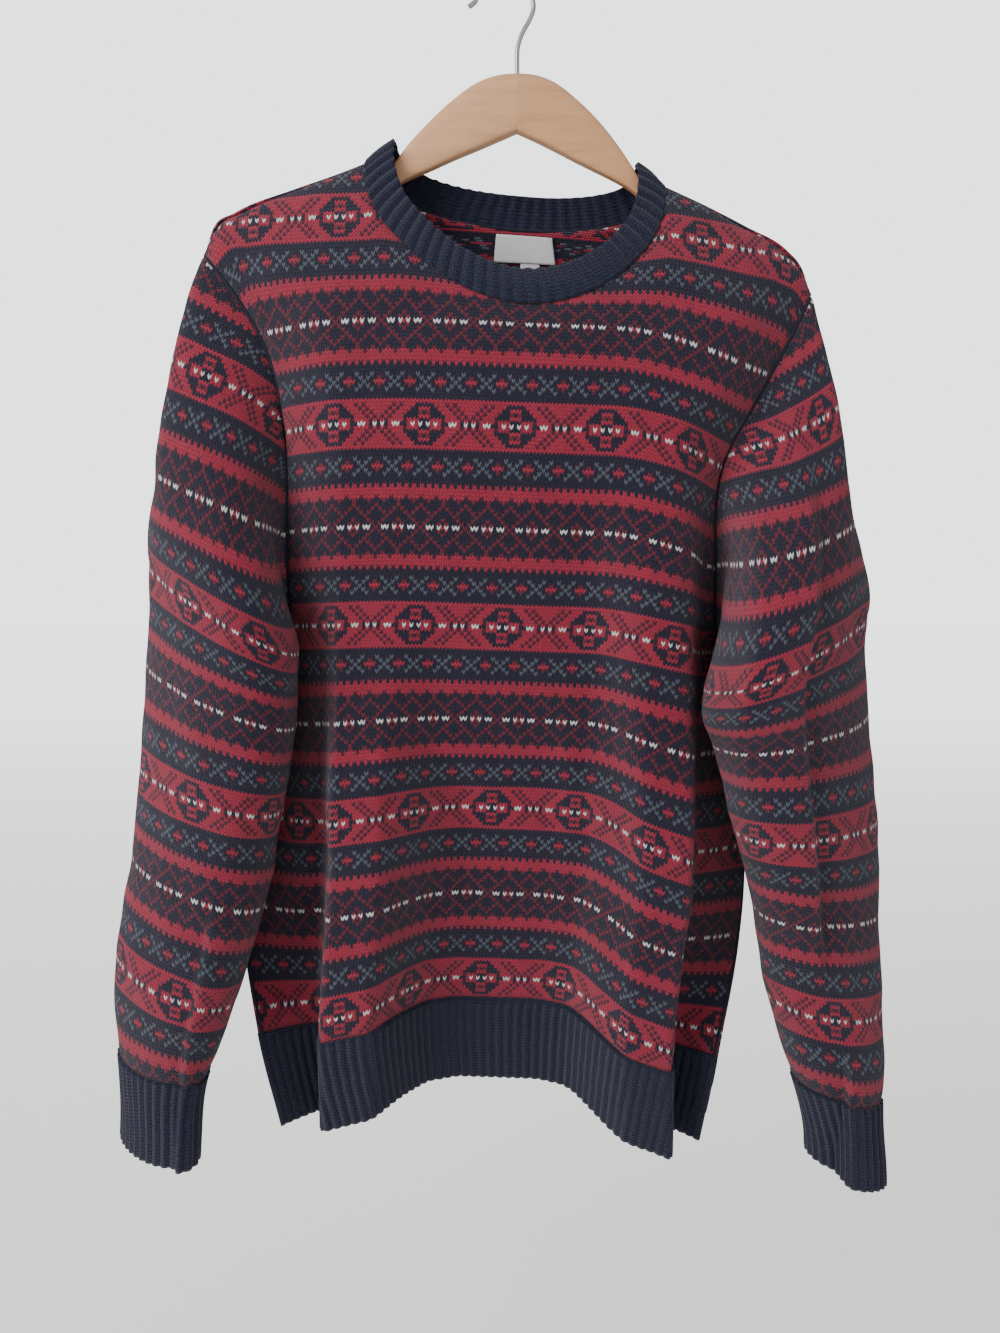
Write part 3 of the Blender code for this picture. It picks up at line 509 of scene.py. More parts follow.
# %% The sleeves
# One line for each height: rows above the cuff, place of the middle of the tube, its longer and
# shorter half widths, how far the longer one is turned away from the front, and how much higher the
# outer side of a row lies.
SLEEVE_LEFT = [
    ("row", "x", "y", "z", "long", "short", "turn", "slant"),
    (-28, -281, -24, -912, 50, 24, 45, -0.05),
    (-24, -280, -24, -901, 50, 24, 45, -0.05),
    (0, -276, -22, -836, 46, 29, 40, 0.10),
    (10, -272, -20, -803, 51, 35, 36, 0.26),
    (23.5, -264, -18, -764, 55, 40, 35, 0.34),
    (50, -246, -15, -686, 64, 44, 38, 0.32),
    (77.5, -234, -12, -612, 70, 46, 42, 0.26),
    (105, -225.5, -9, -536, 77, 49, 46, 0.38),
    (133, -221, -8, -466, 80, 49, 50, 0.55),
]
SLEEVE_RIGHT = [
    ("row", "x", "y", "z", "long", "short", "turn", "slant"),
    (-28, 277, -20, -926, 29, 26, 30, -0.20),
    (-24, 277, -20, -916, 29, 26, 30, -0.20),
    (0, 270, -20, -856, 37, 31, 36, -0.22),
    (10, 266, -19, -826, 47, 36, 38, -0.20),
    (23.5, 260, -18, -786, 54, 40, 36, -0.18),
    (50, 251, -15, -711, 61, 43, 38, -0.12),
    (77.5, 241, -13, -640, 74, 49, 43, 0.0),
    (105, 228, -11, -564, 86, 51, 47, 0.12),
    (119, 223, -10.5, -532, 94, 52, 48.5, 0.25),
    (133, 223, -10, -500, 94, 52, 50, 0.38),
]
# Folds: the rows and the place across where each starts and ends, how far it comes forward there, how
# wide its slope and its fall are, and the side that it faces.
SLEEVE_FOLDS_L = [
    ("name", "row_a", "row_b", "off_a", "off_b", "forward_a", "forward_b", "slope", "fall", "toward"),
    ("cuff ridge", -28, 40, 30, 30, 8, 4, 16, 8, 1),
]
SLEEVE_FOLDS_R = [
    ("name", "row_a", "row_b", "off_a", "off_b", "forward_a", "forward_b", "slope", "fall", "toward"),
    ("long ridge", 60, 190, -16, -8, 13, 22, 30, 7, -1),
    ("cuff step", -28, 10, -8, 2, 22, 8, 30, 6, 1),
]
FOLD_FADE = 0.25      # share of its rows over which a fold fades out past each end


def sleeve_ring(side, row, n=240):
    """One ring round a sleeve, starting at its inner side; side is -1 or 1."""
    table, folds = (SLEEVE_LEFT, SLEEVE_FOLDS_L) if side < 0 else (SLEEVE_RIGHT, SLEEVE_FOLDS_R)
    g = {k: value(table, k, row) for k in table[0][1:]}
    t = radians(g["turn"])
    psi = np.linspace(0, 2 * pi, n + 1)
    short, wide = g["short"] * np.cos(psi), g["long"] * np.sin(psi)
    px = g["x"] + short * (-side * sin(t)) + wide * (-side * cos(t))
    py = g["y"] + short * cos(t) + wide * -sin(t)
    front = smooth((g["y"] - py) / 20.0 + 0.3)
    for f in folds[1:]:
        d = dict(zip(folds[0], f))
        k = (row - d["row_a"]) / (d["row_b"] - d["row_a"])
        if k < -FOLD_FADE or k > 1 + FOLD_FADE:
            continue
        w = smooth(k)
        off = d["off_a"] + (d["off_b"] - d["off_a"]) * w
        amount = d["forward_a"] + (d["forward_b"] - d["forward_a"]) * w
        amount *= smooth((k + FOLD_FADE) / FOLD_FADE) * smooth((1 + FOLD_FADE - k) / FOLD_FADE)
        s = -(px - g["x"] - off) * d["toward"]
        bump = (1 - smooth(s / d["fall"])) * smooth((s + 70) / d["slope"])
        py = py - amount * bump * front
    return np.stack([px, py, g["z"] + g["slant"] * (px - g["x"]) * side], -1)


# %% The sleeve's shaped top
CAP_ROWS = 82.0       # rows of knitting in the sleeve's shaped top
CAP_TOP = 215.0       # row of the sleeve's knitting at the shoulder end
CAP_SWELL = 7.0       # how far the top of a sleeve fills out before it hangs straight
CAP_START = {-1: 26.0, 1: 17.0}       # how steeply each sleeve leaves the shoulder


def armhole(side, count):
    """Points round the armhole: underarm, up the front edge, over the shoulder
    end, down the back edge, back to the underarm."""
    rows = np.linspace(ROWS_ARMPIT, ROWS_SHOULDER, 60)
    f = np.array([front_point(float(side), r)[0] for r in rows])
    b = np.array([back_point(float(side), r)[0] for r in rows])
    return along_line(np.concatenate([f, b[::-1][1:]]), np.linspace(0, 1, count + 1))


def sleeve_points(side, around, cap_steps, tube_rows):
    """Grid of the sleeve's outer face [step][around] with stitch coordinates."""
    frac = np.linspace(0, 1, around + 1)
    ring0 = armhole(side, around)
    start = sleeve_ring(side, ROW_SLEEVE)
    ring1 = along_line(start, frac)
    down = unit(along_line(sleeve_ring(side, ROW_SLEEVE - 10.0), frac) - ring1)
    up = 1 - np.abs(2 * frac - 1)                 # 0 at the underarm, 1 at the shoulder end
    length = 0.9 * np.linalg.norm(ring1 - ring0, axis=1)[:, None]
    out = ring0 - ring0.mean(axis=0)
    out[:, 0] = side * CAP_START[side]
    out[:, 1] *= 1.3
    out[:, 2] = -26.0 - 30.0 * up ** 2
    out = unit(out)
    u = (frac - 0.5) * lengths(start)[-1] / WALE
    first = CAP_TOP - CAP_ROWS * (1 - up) ** 1.4
    grid, stitches = [], []
    for t in np.linspace(0, 1, cap_steps + 1):
        rise, leave = (1 + 2 * t) * (1 - t) ** 2, t * (1 - t) ** 2
        reach, arrive = t * t * (3 - 2 * t), t * t * (t - 1)
        P = rise * ring0 + reach * ring1 + leave * length * out + arrive * length * down
        P[:, 0] += side * CAP_SWELL * up * 9.5 * t ** 3 * (1 - t)
        grid.append(P)
        stitches.append(np.stack([u, first + (ROW_SLEEVE - first) * t], -1))
    for row in tube_rows[1:]:
        ring = sleeve_ring(side, row)
        grid.append(along_line(ring, frac))
        u = (frac - 0.5) * lengths(ring)[-1] / WALE
        stitches.append(np.stack([u, np.full(around + 1, float(row))], -1))
    return np.array(grid), np.array(stitches)


# %% [markdown]
# ## Turning sections into cloth
# A knitted panel is one flat sheet, so each piece starts as a plain grid.  Its points are then moved
# to where the sections say.  The map that says which stitch and row each corner belongs to is laid
# on while the grid is still open, so a sleeve keeps a clean seam.  A Solidify modifier gives the
# 2 mm wall, with the wrong side of the knitting as its own material.

# %% A grid moved onto a form
def outward(places, wrap):
    """Normals of a grid of points, on the right side of the cloth."""
    across = np.gradient(places, axis=1)
    if wrap:
        across = np.roll(places, -1, axis=1) - np.roll(places, 1, axis=1)
    return unit(np.cross(across, np.gradient(places, axis=0)))


def make_cloth(name, places, stitches, close=False, turn_over=False):
    """A mesh grid whose points stand at places (mm), mapped to stitches and rows."""
    steps, count = places.shape[:2]
    bm = bmesh.new()
    bmesh.ops.create_grid(bm, x_segments=count - 1, y_segments=steps - 1, size=1.0)
    stitch_map = bm.loops.layers.uv.new("stitches")
    spot = {}
    for v in bm.verts:
        spot[v] = (round((v.co.y + 1) / 2 * (steps - 1)), round((v.co.x + 1) / 2 * (count - 1)))
    for face in bm.faces:
        for loop in face.loops:
            loop[stitch_map].uv = stitches[spot[loop.vert]]
    for v, at in spot.items():
        v.co = places[at] * MM
    if close:
        bmesh.ops.remove_doubles(bm, verts=bm.verts, dist=1e-5)
    if turn_over:
        bmesh.ops.reverse_faces(bm, faces=bm.faces)
    for face in bm.faces:
        face.smooth = True
    mesh = bpy.data.meshes.new(name)
    bm.to_mesh(mesh)
    bm.free()
    piece = bpy.data.objects.new(name, mesh)
    bpy.context.scene.collection.objects.link(piece)
    return piece


def give_wall(piece, thick, right_side, wrong_side):
    """Wall thickness inwards from the right side, and a material for each side."""
    piece.data.materials.append(right_side)
    piece.data.materials.append(wrong_side)
    wall = piece.modifiers.new("wall", "SOLIDIFY")
    wall.thickness = thick * MM
    wall.offset = -1
    wall.material_offset = 1
    wall.material_offset_rim = 0


def cloth_area(places):
    """Area of a grid of points, in square metres."""
    a = places[1:, :-1] - places[:-1, :-1]
    b = places[:-1, 1:] - places[:-1, :-1]
    return float(np.linalg.norm(np.cross(a, b), axis=-1).sum()) * MM * MM


def ruffle(places, size, amount):
    """Slow unevenness of hand-worn knitting."""
    waves = np.array([[noise.noise(Vector(p / size)) for p in line] for line in places])
    return waves * amount

# %% [markdown]
# ## Yarn and stitches
# Stocking stitch shows columns of small V shapes.  The same node group draws them for every piece:
# it bends the rows into a V inside each stitch and gives a height for the bump.  A second group
# reads the colour chart.  The chart is listed letter by letter: the pattern is the same left and
# right of a medallion and above and below its middle row, so half a repeat each way is enough.

# %% Node helpers
def plug(tree, value, socket):
    """Join an output to a socket, or set the socket's own value."""
    if isinstance(value, bpy.types.NodeSocket):
        tree.links.new(value, socket)
    else:
        socket.default_value = value


def calc(tree, operation, *values):
    node = tree.nodes.new("ShaderNodeMath")
    node.operation = operation
    for value, socket in zip(values, node.inputs):
        plug(tree, value, socket)
    return node.outputs[0]


def mix(tree, factor, first, second, how="MIX"):
    node = tree.nodes.new("ShaderNodeMix")
    node.data_type = "RGBA"
    node.blend_type = how
    plug(tree, factor, node.inputs[0])
    plug(tree, first, node.inputs[6])
    plug(tree, second, node.inputs[7])
    return node.outputs[2]


def sums(tree, *values):
    """The sum of any number of values."""
    total = values[0]
    for more in values[1:]:
        total = calc(tree, "ADD", total, more)
    return total


def speckle(tree, place, scale, detail=2.0):
    node = tree.nodes.new("ShaderNodeTexNoise")
    plug(tree, place, node.inputs["Vector"])
    node.inputs["Scale"].default_value = scale
    node.inputs["Detail"].default_value = detail
    return node.outputs[0]


def join_xyz(tree, x, y, z=0.0):
    node = tree.nodes.new("ShaderNodeCombineXYZ")
    for value, socket in zip((x, y, z), node.inputs):
        plug(tree, value, socket)
    return node.outputs[0]


def object_place(tree):
    return tree.nodes.new("ShaderNodeTexCoord").outputs["Object"]


def stitch_place(tree):
    """The stitch map of a piece: the pair, its column and its row."""
    lay = tree.nodes.new("ShaderNodeUVMap")
    lay.uv_map = "stitches"
    split = tree.nodes.new("ShaderNodeSeparateXYZ")
    tree.links.new(lay.outputs[0], split.inputs[0])
    return lay.outputs[0], split.outputs[0], split.outputs[1]


def paint(tree, skin, share, first, second):
    """Colour of a material, mixed from two by a share."""
    tree.links.new(mix(tree, share, first, second), skin.inputs["Base Color"])


def raise_surface(tree, skin, height, strength, deep):
    """Relief from a height; deep is in millimetres."""
    bump = tree.nodes.new("ShaderNodeBump")
    bump.inputs["Strength"].default_value = strength
    bump.inputs["Distance"].default_value = deep * MM
    tree.links.new(height, bump.inputs["Height"])
    tree.links.new(bump.outputs[0], skin.inputs["Normal"])


def new_group(name, takes, gives):
    """A shader node group with named inputs and outputs."""
    group = bpy.data.node_groups.new(name, "ShaderNodeTree")
    for label, kind in takes:
        group.interface.new_socket(label, in_out="INPUT", socket_type=kind)
    for label, kind in gives:
        group.interface.new_socket(label, in_out="OUTPUT", socket_type=kind)
    return group, group.nodes.new("NodeGroupInput"), group.nodes.new("NodeGroupOutput")


# %% The stitch: columns of V shapes
def stitch_group():
    group, takes, gives = new_group(
        "knit stitches",
        [(label, "NodeSocketFloat") for label in ("Column", "Row", "Slope")],
        [(label, "NodeSocketFloat") for label in ("Column number", "Row number", "Height", "Shade")])
    column, row, slope = takes.outputs[0], takes.outputs[1], takes.outputs[2]
    do = partial(calc, group)
    place = join_xyz(group, column, row)
    wobble = do("SUBTRACT", speckle(group, place, 0.9, 1.0), 0.5)
    stray = do("SUBTRACT", speckle(group, place, 3.6, 2.0), 0.5)
    # columns that wander a little, and how far a point is from the middle of its column
    shifted = sums(group, column, 0.5, do("MULTIPLY", wobble, 0.20), do("MULTIPLY", stray, 0.34))
    aside = do("ABSOLUTE", do("SUBTRACT", do("FRACT", shifted), 0.5))
    # rows bent into a V inside each stitch
    bent = do("SUBTRACT", row, do("MULTIPLY", aside, slope))
    bent = sums(group, bent, do("MULTIPLY", wobble, 0.25), do("MULTIPLY", stray, 0.50))
    along = do("SINE", do("MULTIPLY", do("FRACT", bent), pi))
    leg = do("SINE", do("MULTIPLY", do("MINIMUM", aside, 0.5), 2 * pi))
    leg = do("ADD", do("MULTIPLY", do("ABSOLUTE", leg), 0.75), 0.25)
    height = do("POWER", do("MAXIMUM", do("MULTIPLY", along, leg), 0.0), 0.6)
    fibre = speckle(group, join_xyz(group, column, do("MULTIPLY", row, 0.6)), 6.0, 3.0)
    height = do("ADD", height, do("MULTIPLY", fibre, 0.35))
    # painted shade: the colour is darkened where the height is low, in the grooves between legs and
    # rows
    shade = do("ADD", do("MULTIPLY", height, 0.55), 0.40)
    for result, socket in zip((do("FLOOR", shifted), do("FLOOR", bent), height, shade), gives.inputs):
        group.links.new(result, socket)
    return group


STITCHES = stitch_group()

# %% The colour chart, half a repeat wide and half a repeat tall
# Letters are yarns: N navy, R red, W white, G grey.  The first letter is the middle of a medallion,
# the first line is its middle row, and the last line is the middle row of the trellis.
CHART = [
    "NWRWRNNWWRNWN", "NNRRRNRRRRNRN", "RRNNNNRRRNRNR", "NRNNNRRRNRNRR", "RRNNRRRNRNRRR",
    "NNNRRRNRNRRRR", "RRRRRRRRRRRRR", "NNNNNNNNNNNNN", "NNNNNNNNNNNNN",
    "NNGNNNGNNNGNN", "NGNNRNNGNGNNR", "GNNRRRNNGNNRR", "NGNNRNNGNGNNR", "NNGNNNGNNNGNN",
    "NNNNNNNNNNNNN", "NNNNNNNNNNNNN",
    "RNRNRNRNRNRNR", "RRRRRRRRRRRRR", "RRRRRRRRRRRRR", "NRRRNRRRNRRRN", "NNRNNNRNNNRNN",
    "RNNNNNRNNNNNR", "NRNNNRNRNNNRN", "NNRNRNNNRNRNN", "NNNRNNNNNRNNN", "NNRNNNRNNNRNN",
    "NRNNNRNRNNNRN", "RNWWNWRWNWWNR",
]
REPEAT_STITCHES, REPEAT_ROWS = 24, 54       # a whole repeat of the pattern
YARNS = {
    "N": (0.0200, 0.0190, 0.0440),
    "R": (0.4600, 0.0330, 0.0700),
    "W": (0.9000, 0.8600, 0.8500),
    "G": (0.1150, 0.1350, 0.1700),
    "M": (0.0900, 0.0190, 0.0420),
    "D": (0.2100, 0.0230, 0.0420),
}
ORDER = "NRWGMD"
ALONE = {"N": ("R", "M"), "R": ("N", "D")}
ALONE_REACH, ALONE_COUNT = 4, 3       # a stitch is alone if so few of its colour lie so near


def hazed(line):
    """A lone stitch sinks between its neighbours and their loose fibres cover it, so it looks
    nearer to their colour: navy turns maroon (M) and red turns deep red (D)."""
    last = len(line) - 1

    def at(k):
        return line[last - abs(last - abs(k))]

    seen = ""
    for k, letter in enumerate(line):
        others = [at(k + d) for d in range(-ALONE_REACH, ALONE_REACH + 1) if d]
        around, shade = ALONE.get(letter, ("", letter))
        lone = at(k - 1) == at(k + 1) == around and others.count(letter) <= ALONE_COUNT
        seen += shade if lone else letter
    return seen


def folded(tree, number, repeat):
    """Distance of a stitch or row from the middle of its repeat."""
    turned = calc(tree, "FLOORED_MODULO", calc(tree, "ADD", number, repeat / 2), repeat)
    return calc(tree, "ABSOLUTE", calc(tree, "SUBTRACT", turned, repeat / 2))


def stepped_ramp(tree, position, stops):
    """A colour ramp of plain steps, one for each colour."""
    node = tree.nodes.new("ShaderNodeValToRGB")
    node.color_ramp.interpolation = "CONSTANT"
    while len(node.color_ramp.elements) < len(stops):
        node.color_ramp.elements.new(0.5)
    for k, colour in enumerate(stops):
        node.color_ramp.elements[k].position = k / len(stops)
        node.color_ramp.elements[k].color = (*colour, 1)
    plug(tree, position, node.inputs[0])
    return node.outputs[0]


def chart_group():
    """The chart as a node group.  Each of its lines is held as three rows of on and off
    marks, one mark a stitch, and the three marks of a stitch spell the number of its yarn."""
    group, takes, gives = new_group(
        "colour chart",
        [("Column number", "NodeSocketFloat"), ("Row number", "NodeSocketFloat")],
        [("Color", "NodeSocketColor")])
    do = partial(calc, group)
    column = folded(group, takes.outputs[0], REPEAT_STITCHES)
    row = folded(group, takes.outputs[1], REPEAT_ROWS)
    full = 2 ** len(CHART[0])
    lines = []
    for line in CHART:
        yarns = [ORDER.index(letter) for letter in hazed(line)]
        marks = [sum((n >> plane & 1) << k for k, n in enumerate(yarns)) for plane in range(3)]
        lines.append([mark / full for mark in marks])
    position = do("DIVIDE", do("ADD", row, 0.5), float(len(CHART)))
    split = group.nodes.new("ShaderNodeSeparateColor")
    group.links.new(stepped_ramp(group, position, lines), split.inputs[0])
    place = do("POWER", 2.0, column)
    code = 0.0
    for worth, plane in zip((1.0, 2.0, 4.0), split.outputs):
        marks = do("ADD", do("MULTIPLY", plane, float(full)), 0.5)
        mark = do("FLOORED_MODULO", do("FLOOR", do("DIVIDE", marks, place)), 2.0)
        code = do("ADD", code, do("MULTIPLY", mark, worth))
    position = do("DIVIDE", do("ADD", code, 0.5), float(len(ORDER)))
    group.links.new(stepped_ramp(group, position, [YARNS[y] for y in ORDER]), gives.inputs[0])
    return group


COLOURS = chart_group()
print("chart of", len(CHART[0]), "stitches by", len(CHART), "rows")

# %% [markdown]
# ## Wool
# Wool yarn is never one flat colour: it is spun from fibres of slightly different shades and its
# surface is a haze of loose ends.  Each wool material therefore drifts a little in shade and has a
# weak sheen for the haze; it is also painted darker between its stitches, a painted shade for the
# grooves that light does not reach.

# %% Wool materials
STRANDS_A_ROW = 1.7   # loose strands on the wrong side for each row
STRAND_SHIFT = 5.3    # stitches by which the next strand is moved aside
STRAND_LONG = 0.55    # share of a stitch that one stitch width of a strand takes up


def wool_material(name, colours, slope, floats=False, lift=0.8):
    """Knitted wool on the stitch map; colours is the chart group or one yarn.  Floats are the
    strands that pass behind a pattern: long thin dashes, moved aside from row to row."""
    material, skin = plain_material(name, (0.05, 0.05, 0.07), 0.93)
    skin.inputs["Specular IOR Level"].default_value = 0.2
    skin.inputs["Sheen Weight"].default_value = 0.22
    skin.inputs["Sheen Roughness"].default_value = 0.45
    skin.inputs["Sheen Tint"].default_value = (0.86, 0.84, 0.90, 1)
    tree = material.node_tree
    do = partial(calc, tree)
    lay, column, row = stitch_place(tree)
    if floats:
        row = do("MULTIPLY", row, STRANDS_A_ROW)
        aside = do("MULTIPLY", do("FLOOR", row), STRAND_SHIFT)
        column = do("ADD", do("MULTIPLY", column, STRAND_LONG), aside)
    stitch = tree.nodes.new("ShaderNodeGroup")
    stitch.node_tree = STITCHES
    for given, socket in zip((column, row, slope), stitch.inputs):
        plug(tree, given, socket)
    if colours is COLOURS:
        chart = tree.nodes.new("ShaderNodeGroup")
        chart.node_tree = COLOURS
        for number, socket in zip(stitch.outputs, chart.inputs):
            tree.links.new(number, socket)
        colour = chart.outputs[0]
    else:
        colour = (*colours, 1)
    drift = speckle(tree, lay, 0.12, 2.0)
    heather = speckle(tree, lay, 2.2, 3.0)
    # the yarn's random drift and heather, times the painted shade of the grooves from the stitch group
    tone_and_groove_shade = sums(tree, do("MULTIPLY", drift, 0.30), do("MULTIPLY", heather, 0.70), 0.52)
    tone_and_groove_shade = do("MULTIPLY", tone_and_groove_shade, stitch.outputs[3])
    colour = mix(tree, 1.0, colour, join_xyz(tree, tone_and_groove_shade, tone_and_groove_shade, tone_and_groove_shade), "MULTIPLY")
    haze = do("MULTIPLY", do("POWER", heather, 4.0), 0.35)
    paint(tree, skin, haze, colour, (0.30, 0.22, 0.26, 1))
    raise_surface(tree, skin, stitch.outputs[2], 0.9, lift)
    return material


PATTERNED = wool_material("patterned knit", COLOURS, 1.35, lift=1.1)
FLOATS = wool_material("wrong side of the pattern", COLOURS, 0.1, floats=True, lift=1.0)
RIB_YARN = (0.0150, 0.0200, 0.0480)
RIBBING = wool_material("ribbing", RIB_YARN, 0.9, lift=0.8)
RIB_BACK = wool_material("wrong side of the ribbing", RIB_YARN, 0.2, lift=0.6)

# %% [markdown]
# ## Front and back
# Each panel is knitted flat and sewn at its edges, which pulls the edge in a little.  The grid is
# closer at the neck hole than at the sides, because the edge curves most there.

# %% Body panels
SEAM_DIP = 0.9        # how far a sewn edge is drawn in
SEAM_REACH = 7.0      # how far from the seam that shows
SEAM_SOFT = 20.0      # how far from the seam the cloth's unevenness starts
UNEVEN = 1.6          # depth of that unevenness
EDGE_WIDE = 240.0     # half width by which the distance from a side seam is counted
SIDE_STEPS, NECK_STEPS, UP_STEPS = 40, 66, 150
CHART_ROW_BODY = 6    # the row of the body on which a medallion has its middle


def across_panel():
    """Places across a panel, from -1 to 1, closer round the neck."""
    side = np.linspace(-1, -A_NECK, SIDE_STEPS + 1)
    middle = A_NECK * np.sin(np.radians(np.linspace(-90, 90, NECK_STEPS + 1)))
    return np.concatenate([side, middle[1:-1], -side[::-1]])


def seam_dip(places, edge, size):
    """How far each point of the cloth is pressed in, by its distance from the seams."""
    return (SEAM_DIP * (1 - smooth(edge / SEAM_REACH))
            - ruffle(places, size, UNEVEN) * smooth(edge / SEAM_SOFT))


def panel(point, top, left_first):
    """One panel of the body: its places and its stitch map."""
    cols = across_panel() if left_first else across_panel()[::-1]
    places, stitches, edge = [], [], []
    for b in np.linspace(0, 1, UP_STEPS + 1):
        line, marks, near = [], [], []
        for a in cols:
            full = float(top(a))
            row = min(b * full, full - EDGE)
            place, along = point(a, row)
            line.append(place)
            marks.append((along / WALE, row - CHART_ROW_BODY))
            near.append(min((full - row) * COURSE, (1 - abs(a)) * EDGE_WIDE, row * COURSE))
        places.append(line)
        stitches.append(marks)
        edge.append(near)
    places, edge = np.array(places), np.array(edge)
    dip = seam_dip(places, edge, 34.0)
    return places - outward(places, False) * dip[..., None], np.array(stitches)


front_places, front_stitches = panel(front_point, top_row, True)
front = make_cloth("front_knit", front_places, front_stitches)
give_wall(front, WALL, PATTERNED, FLOATS)
back_places, back_stitches = panel(back_point, back_top, False)
back = make_cloth("back_knit", back_places, back_stitches)
give_wall(back, WALL, PATTERNED, FLOATS)
print("front", round(cloth_area(front_places), 4), "m2; back", round(cloth_area(back_places), 4), "m2")

# %% [markdown]
# ## Sleeves
# A sleeve is a tube whose first ring is the armhole.  Above the underarm it bends over from the
# shoulder, and from there it hangs straight, with a ridge or two where it folds.

# %% Sleeve tubes
AROUND_SLEEVE, CAP_STEPS, TUBE_STEPS = 150, 46, 110
CHART_ROW_SLEEVE = 23     # the row of a sleeve on which a medallion has its middle
CHART_COLUMN = {-1: 13.6, 1: 11.5}    # how far the pattern is turned round each sleeve


def sleeve(side):
    """One sleeve: its places and its stitch map, its first ring pressed in behind the armhole."""
    rows = np.linspace(ROW_SLEEVE, 0, TUBE_STEPS + 1)
    places, stitches = sleeve_points(side, AROUND_SLEEVE, CAP_STEPS, rows)
    stitches = stitches + np.array([CHART_COLUMN[side], -CHART_ROW_SLEEVE])
    far = np.linalg.norm(places - places[:1], axis=-1)
    end = np.linalg.norm(places - places[-1:], axis=-1)
    dip = seam_dip(places, np.minimum(far, end), 30.0)
    sign = 1.0 if side < 0 else -1.0
    places = places - outward(places, True) * (sign * dip)[..., None]
    middle = places[0].mean(axis=0)
    places[0] += unit(middle - places[0]) * SEAM_DIP - np.array([side * SEAM_DIP, 0, 0])
    places[:, -1] = places[:, 0]
    return places, stitches


sleeves = {}
for side, word in ((-1, "left"), (1, "right")):
    places, stitches = sleeve(side)
    tube = make_cloth("sleeve_knit_" + word, places, stitches, close=True, turn_over=side > 0)
    give_wall(tube, WALL, PATTERNED, FLOATS)
    sleeves[side] = tube
    print(tube.name, round(cloth_area(places), 4), "m2")

# %% [markdown]
# ## Ribbing
# Ribbing is knitted with raised and sunk columns, so it is springy and stands in cords.  The cords
# are real form here: the band is a closed strip whose points go in and out round the loop.

# %% Ribbed bands
RIB_HIGH = 1.9        # how far a rib stands out
RIB_ROUND = 0.55      # below 1, a rib is rounder at its top than a wave
POINTS_A_RIB = 10     # grid points round each rib
SEAM_LAP = 0.45       # rows that a ribbed band laps over the edge that it is knitted on
RIBS = {"hem": 124, "neck": 60, "cuff": 30}
NECK_TALL = 26.0      # height of the neck band
NECK_SWELL = 1.6      # how far it swells at its middle
NECK_REACH = 112.0    # from its middle to its sides


def ribbed(loops, ribs, high):
    """A closed band through loops of points, corded all round: its places, its
    map, and whether the grid has to be turned over to face out."""
    count = ribs * POINTS_A_RIB
    places = np.array([along_line(loop, np.linspace(0, 1, count + 1)) for loop in loops])
    ring = places[:, :-1]
    out = outward(ring, True)
    facing = 1.0 if np.sum(out * (ring - ring.mean(axis=1, keepdims=True))) > 0 else -1.0
    out = facing * np.concatenate([out, out[:, :1]], axis=1)
    phase = np.arange(count + 1) / POINTS_A_RIB * 2 * pi
    cord = (0.5 + 0.5 * np.cos(phase)) ** RIB_ROUND
    places = places + out * (cord * high)[None, :, None]
    places[:, -1] = places[:, 0]
    rows = lengths(places[:, 0]) / COURSE
    across = np.broadcast_to(np.arange(count + 1) / POINTS_A_RIB * 2, (len(loops), count + 1))
    stitches = np.stack([across, np.broadcast_to(rows[:, None], across.shape)], -1)
    return places, stitches, facing < 0


def band(name, loops, ribs, high):
    places, stitches, over = ribbed(loops, ribs, high)
    piece = make_cloth(name, places, stitches, close=True, turn_over=over)
    give_wall(piece, WALL, RIBBING, RIB_BACK)
    print(name, round(cloth_area(places), 4), "m2")
    return piece


# %% Hem
HEM_ROWS = np.linspace(-27.0, SEAM_LAP, 26)


def hem_loop(row):
    f = [front_point(a, row)[0] for a in np.linspace(-1, 1, 141)]
    b = [back_point(a, row)[0] for a in np.linspace(1, -1, 101)]
    return np.array(f + b[1:])


hem = band("hem_ribbing", [hem_loop(r) for r in HEM_ROWS], RIBS["hem"], RIB_HIGH)

# %% Neck band
# It stands up from the neck edge, leans in over the wearer's neck, and swells a little at its middle.


def neck_edge():
    """Neck edges of both panels as one loop."""
    f = np.array([front_edge_point(a) for a in A_NECK * np.sin(np.linspace(-pi / 2, pi / 2, 121))])
    b = A_NECK * np.sin(np.linspace(pi / 2, -pi / 2, 91))
    b = np.array([back_point(a, back_top(a))[0] for a in b])
    f[[0, -1], 1] = 0
    b[0], b[-1] = f[-1], f[0]
    return np.concatenate([f, b[1:]])


def neck_loops():
    """Loops of the band from its seam up; at its sides it leans in further."""
    seam = neck_edge()
    away = seam - np.array([NECK["x"] + 1, NECK_Y, 0])
    away[:, 2] = 0
    steep = np.clip(np.abs(away[:, 0] / NECK_REACH), 0, 1) ** 3
    inner = unit(-away)
    rise = np.array([0, 0, 1.0]) * (0.97 - 0.41 * steep)[:, None]
    lean = unit(inner * (0.20 + 0.60 * steep)[:, None] + rise)
    loops = []
    for t in np.linspace(0, 1, 16):
        swell = NECK_SWELL * sin(pi * t)
        loops.append(seam + lean * (NECK_TALL * t - SEAM_LAP * COURSE) - inner * swell)
    return loops


neck = band("neck_ribbing", neck_loops(), RIBS["neck"], RIB_HIGH)

# %% Cuffs
cuffs = {}
for side, word in ((-1, "left"), (1, "right")):
    loops = [sleeve_ring(side, r) for r in np.linspace(-25.0, SEAM_LAP, 24)]
    cuffs[side] = band("cuff_ribbing_" + word, loops, RIBS["cuff"], RIB_HIGH)

# %% [markdown]
# ## Seams
# The panels are linked together on their wrong side, which leaves a soft cord inside every seam.
# Each cord follows the same edge as the panels that it joins, moved in to their wrong side.

# %% Seam cords
SEAM_THICK = 1.2      # radius of a cord
SEAM_KNIT = 2.4       # how deep a cord lies behind the patterned cloth
SEAM_BAND = 2.6       # how deep it lies behind a ribbed band
SEAM_RIDGE = 3.6      # how far it lies under the shoulder line


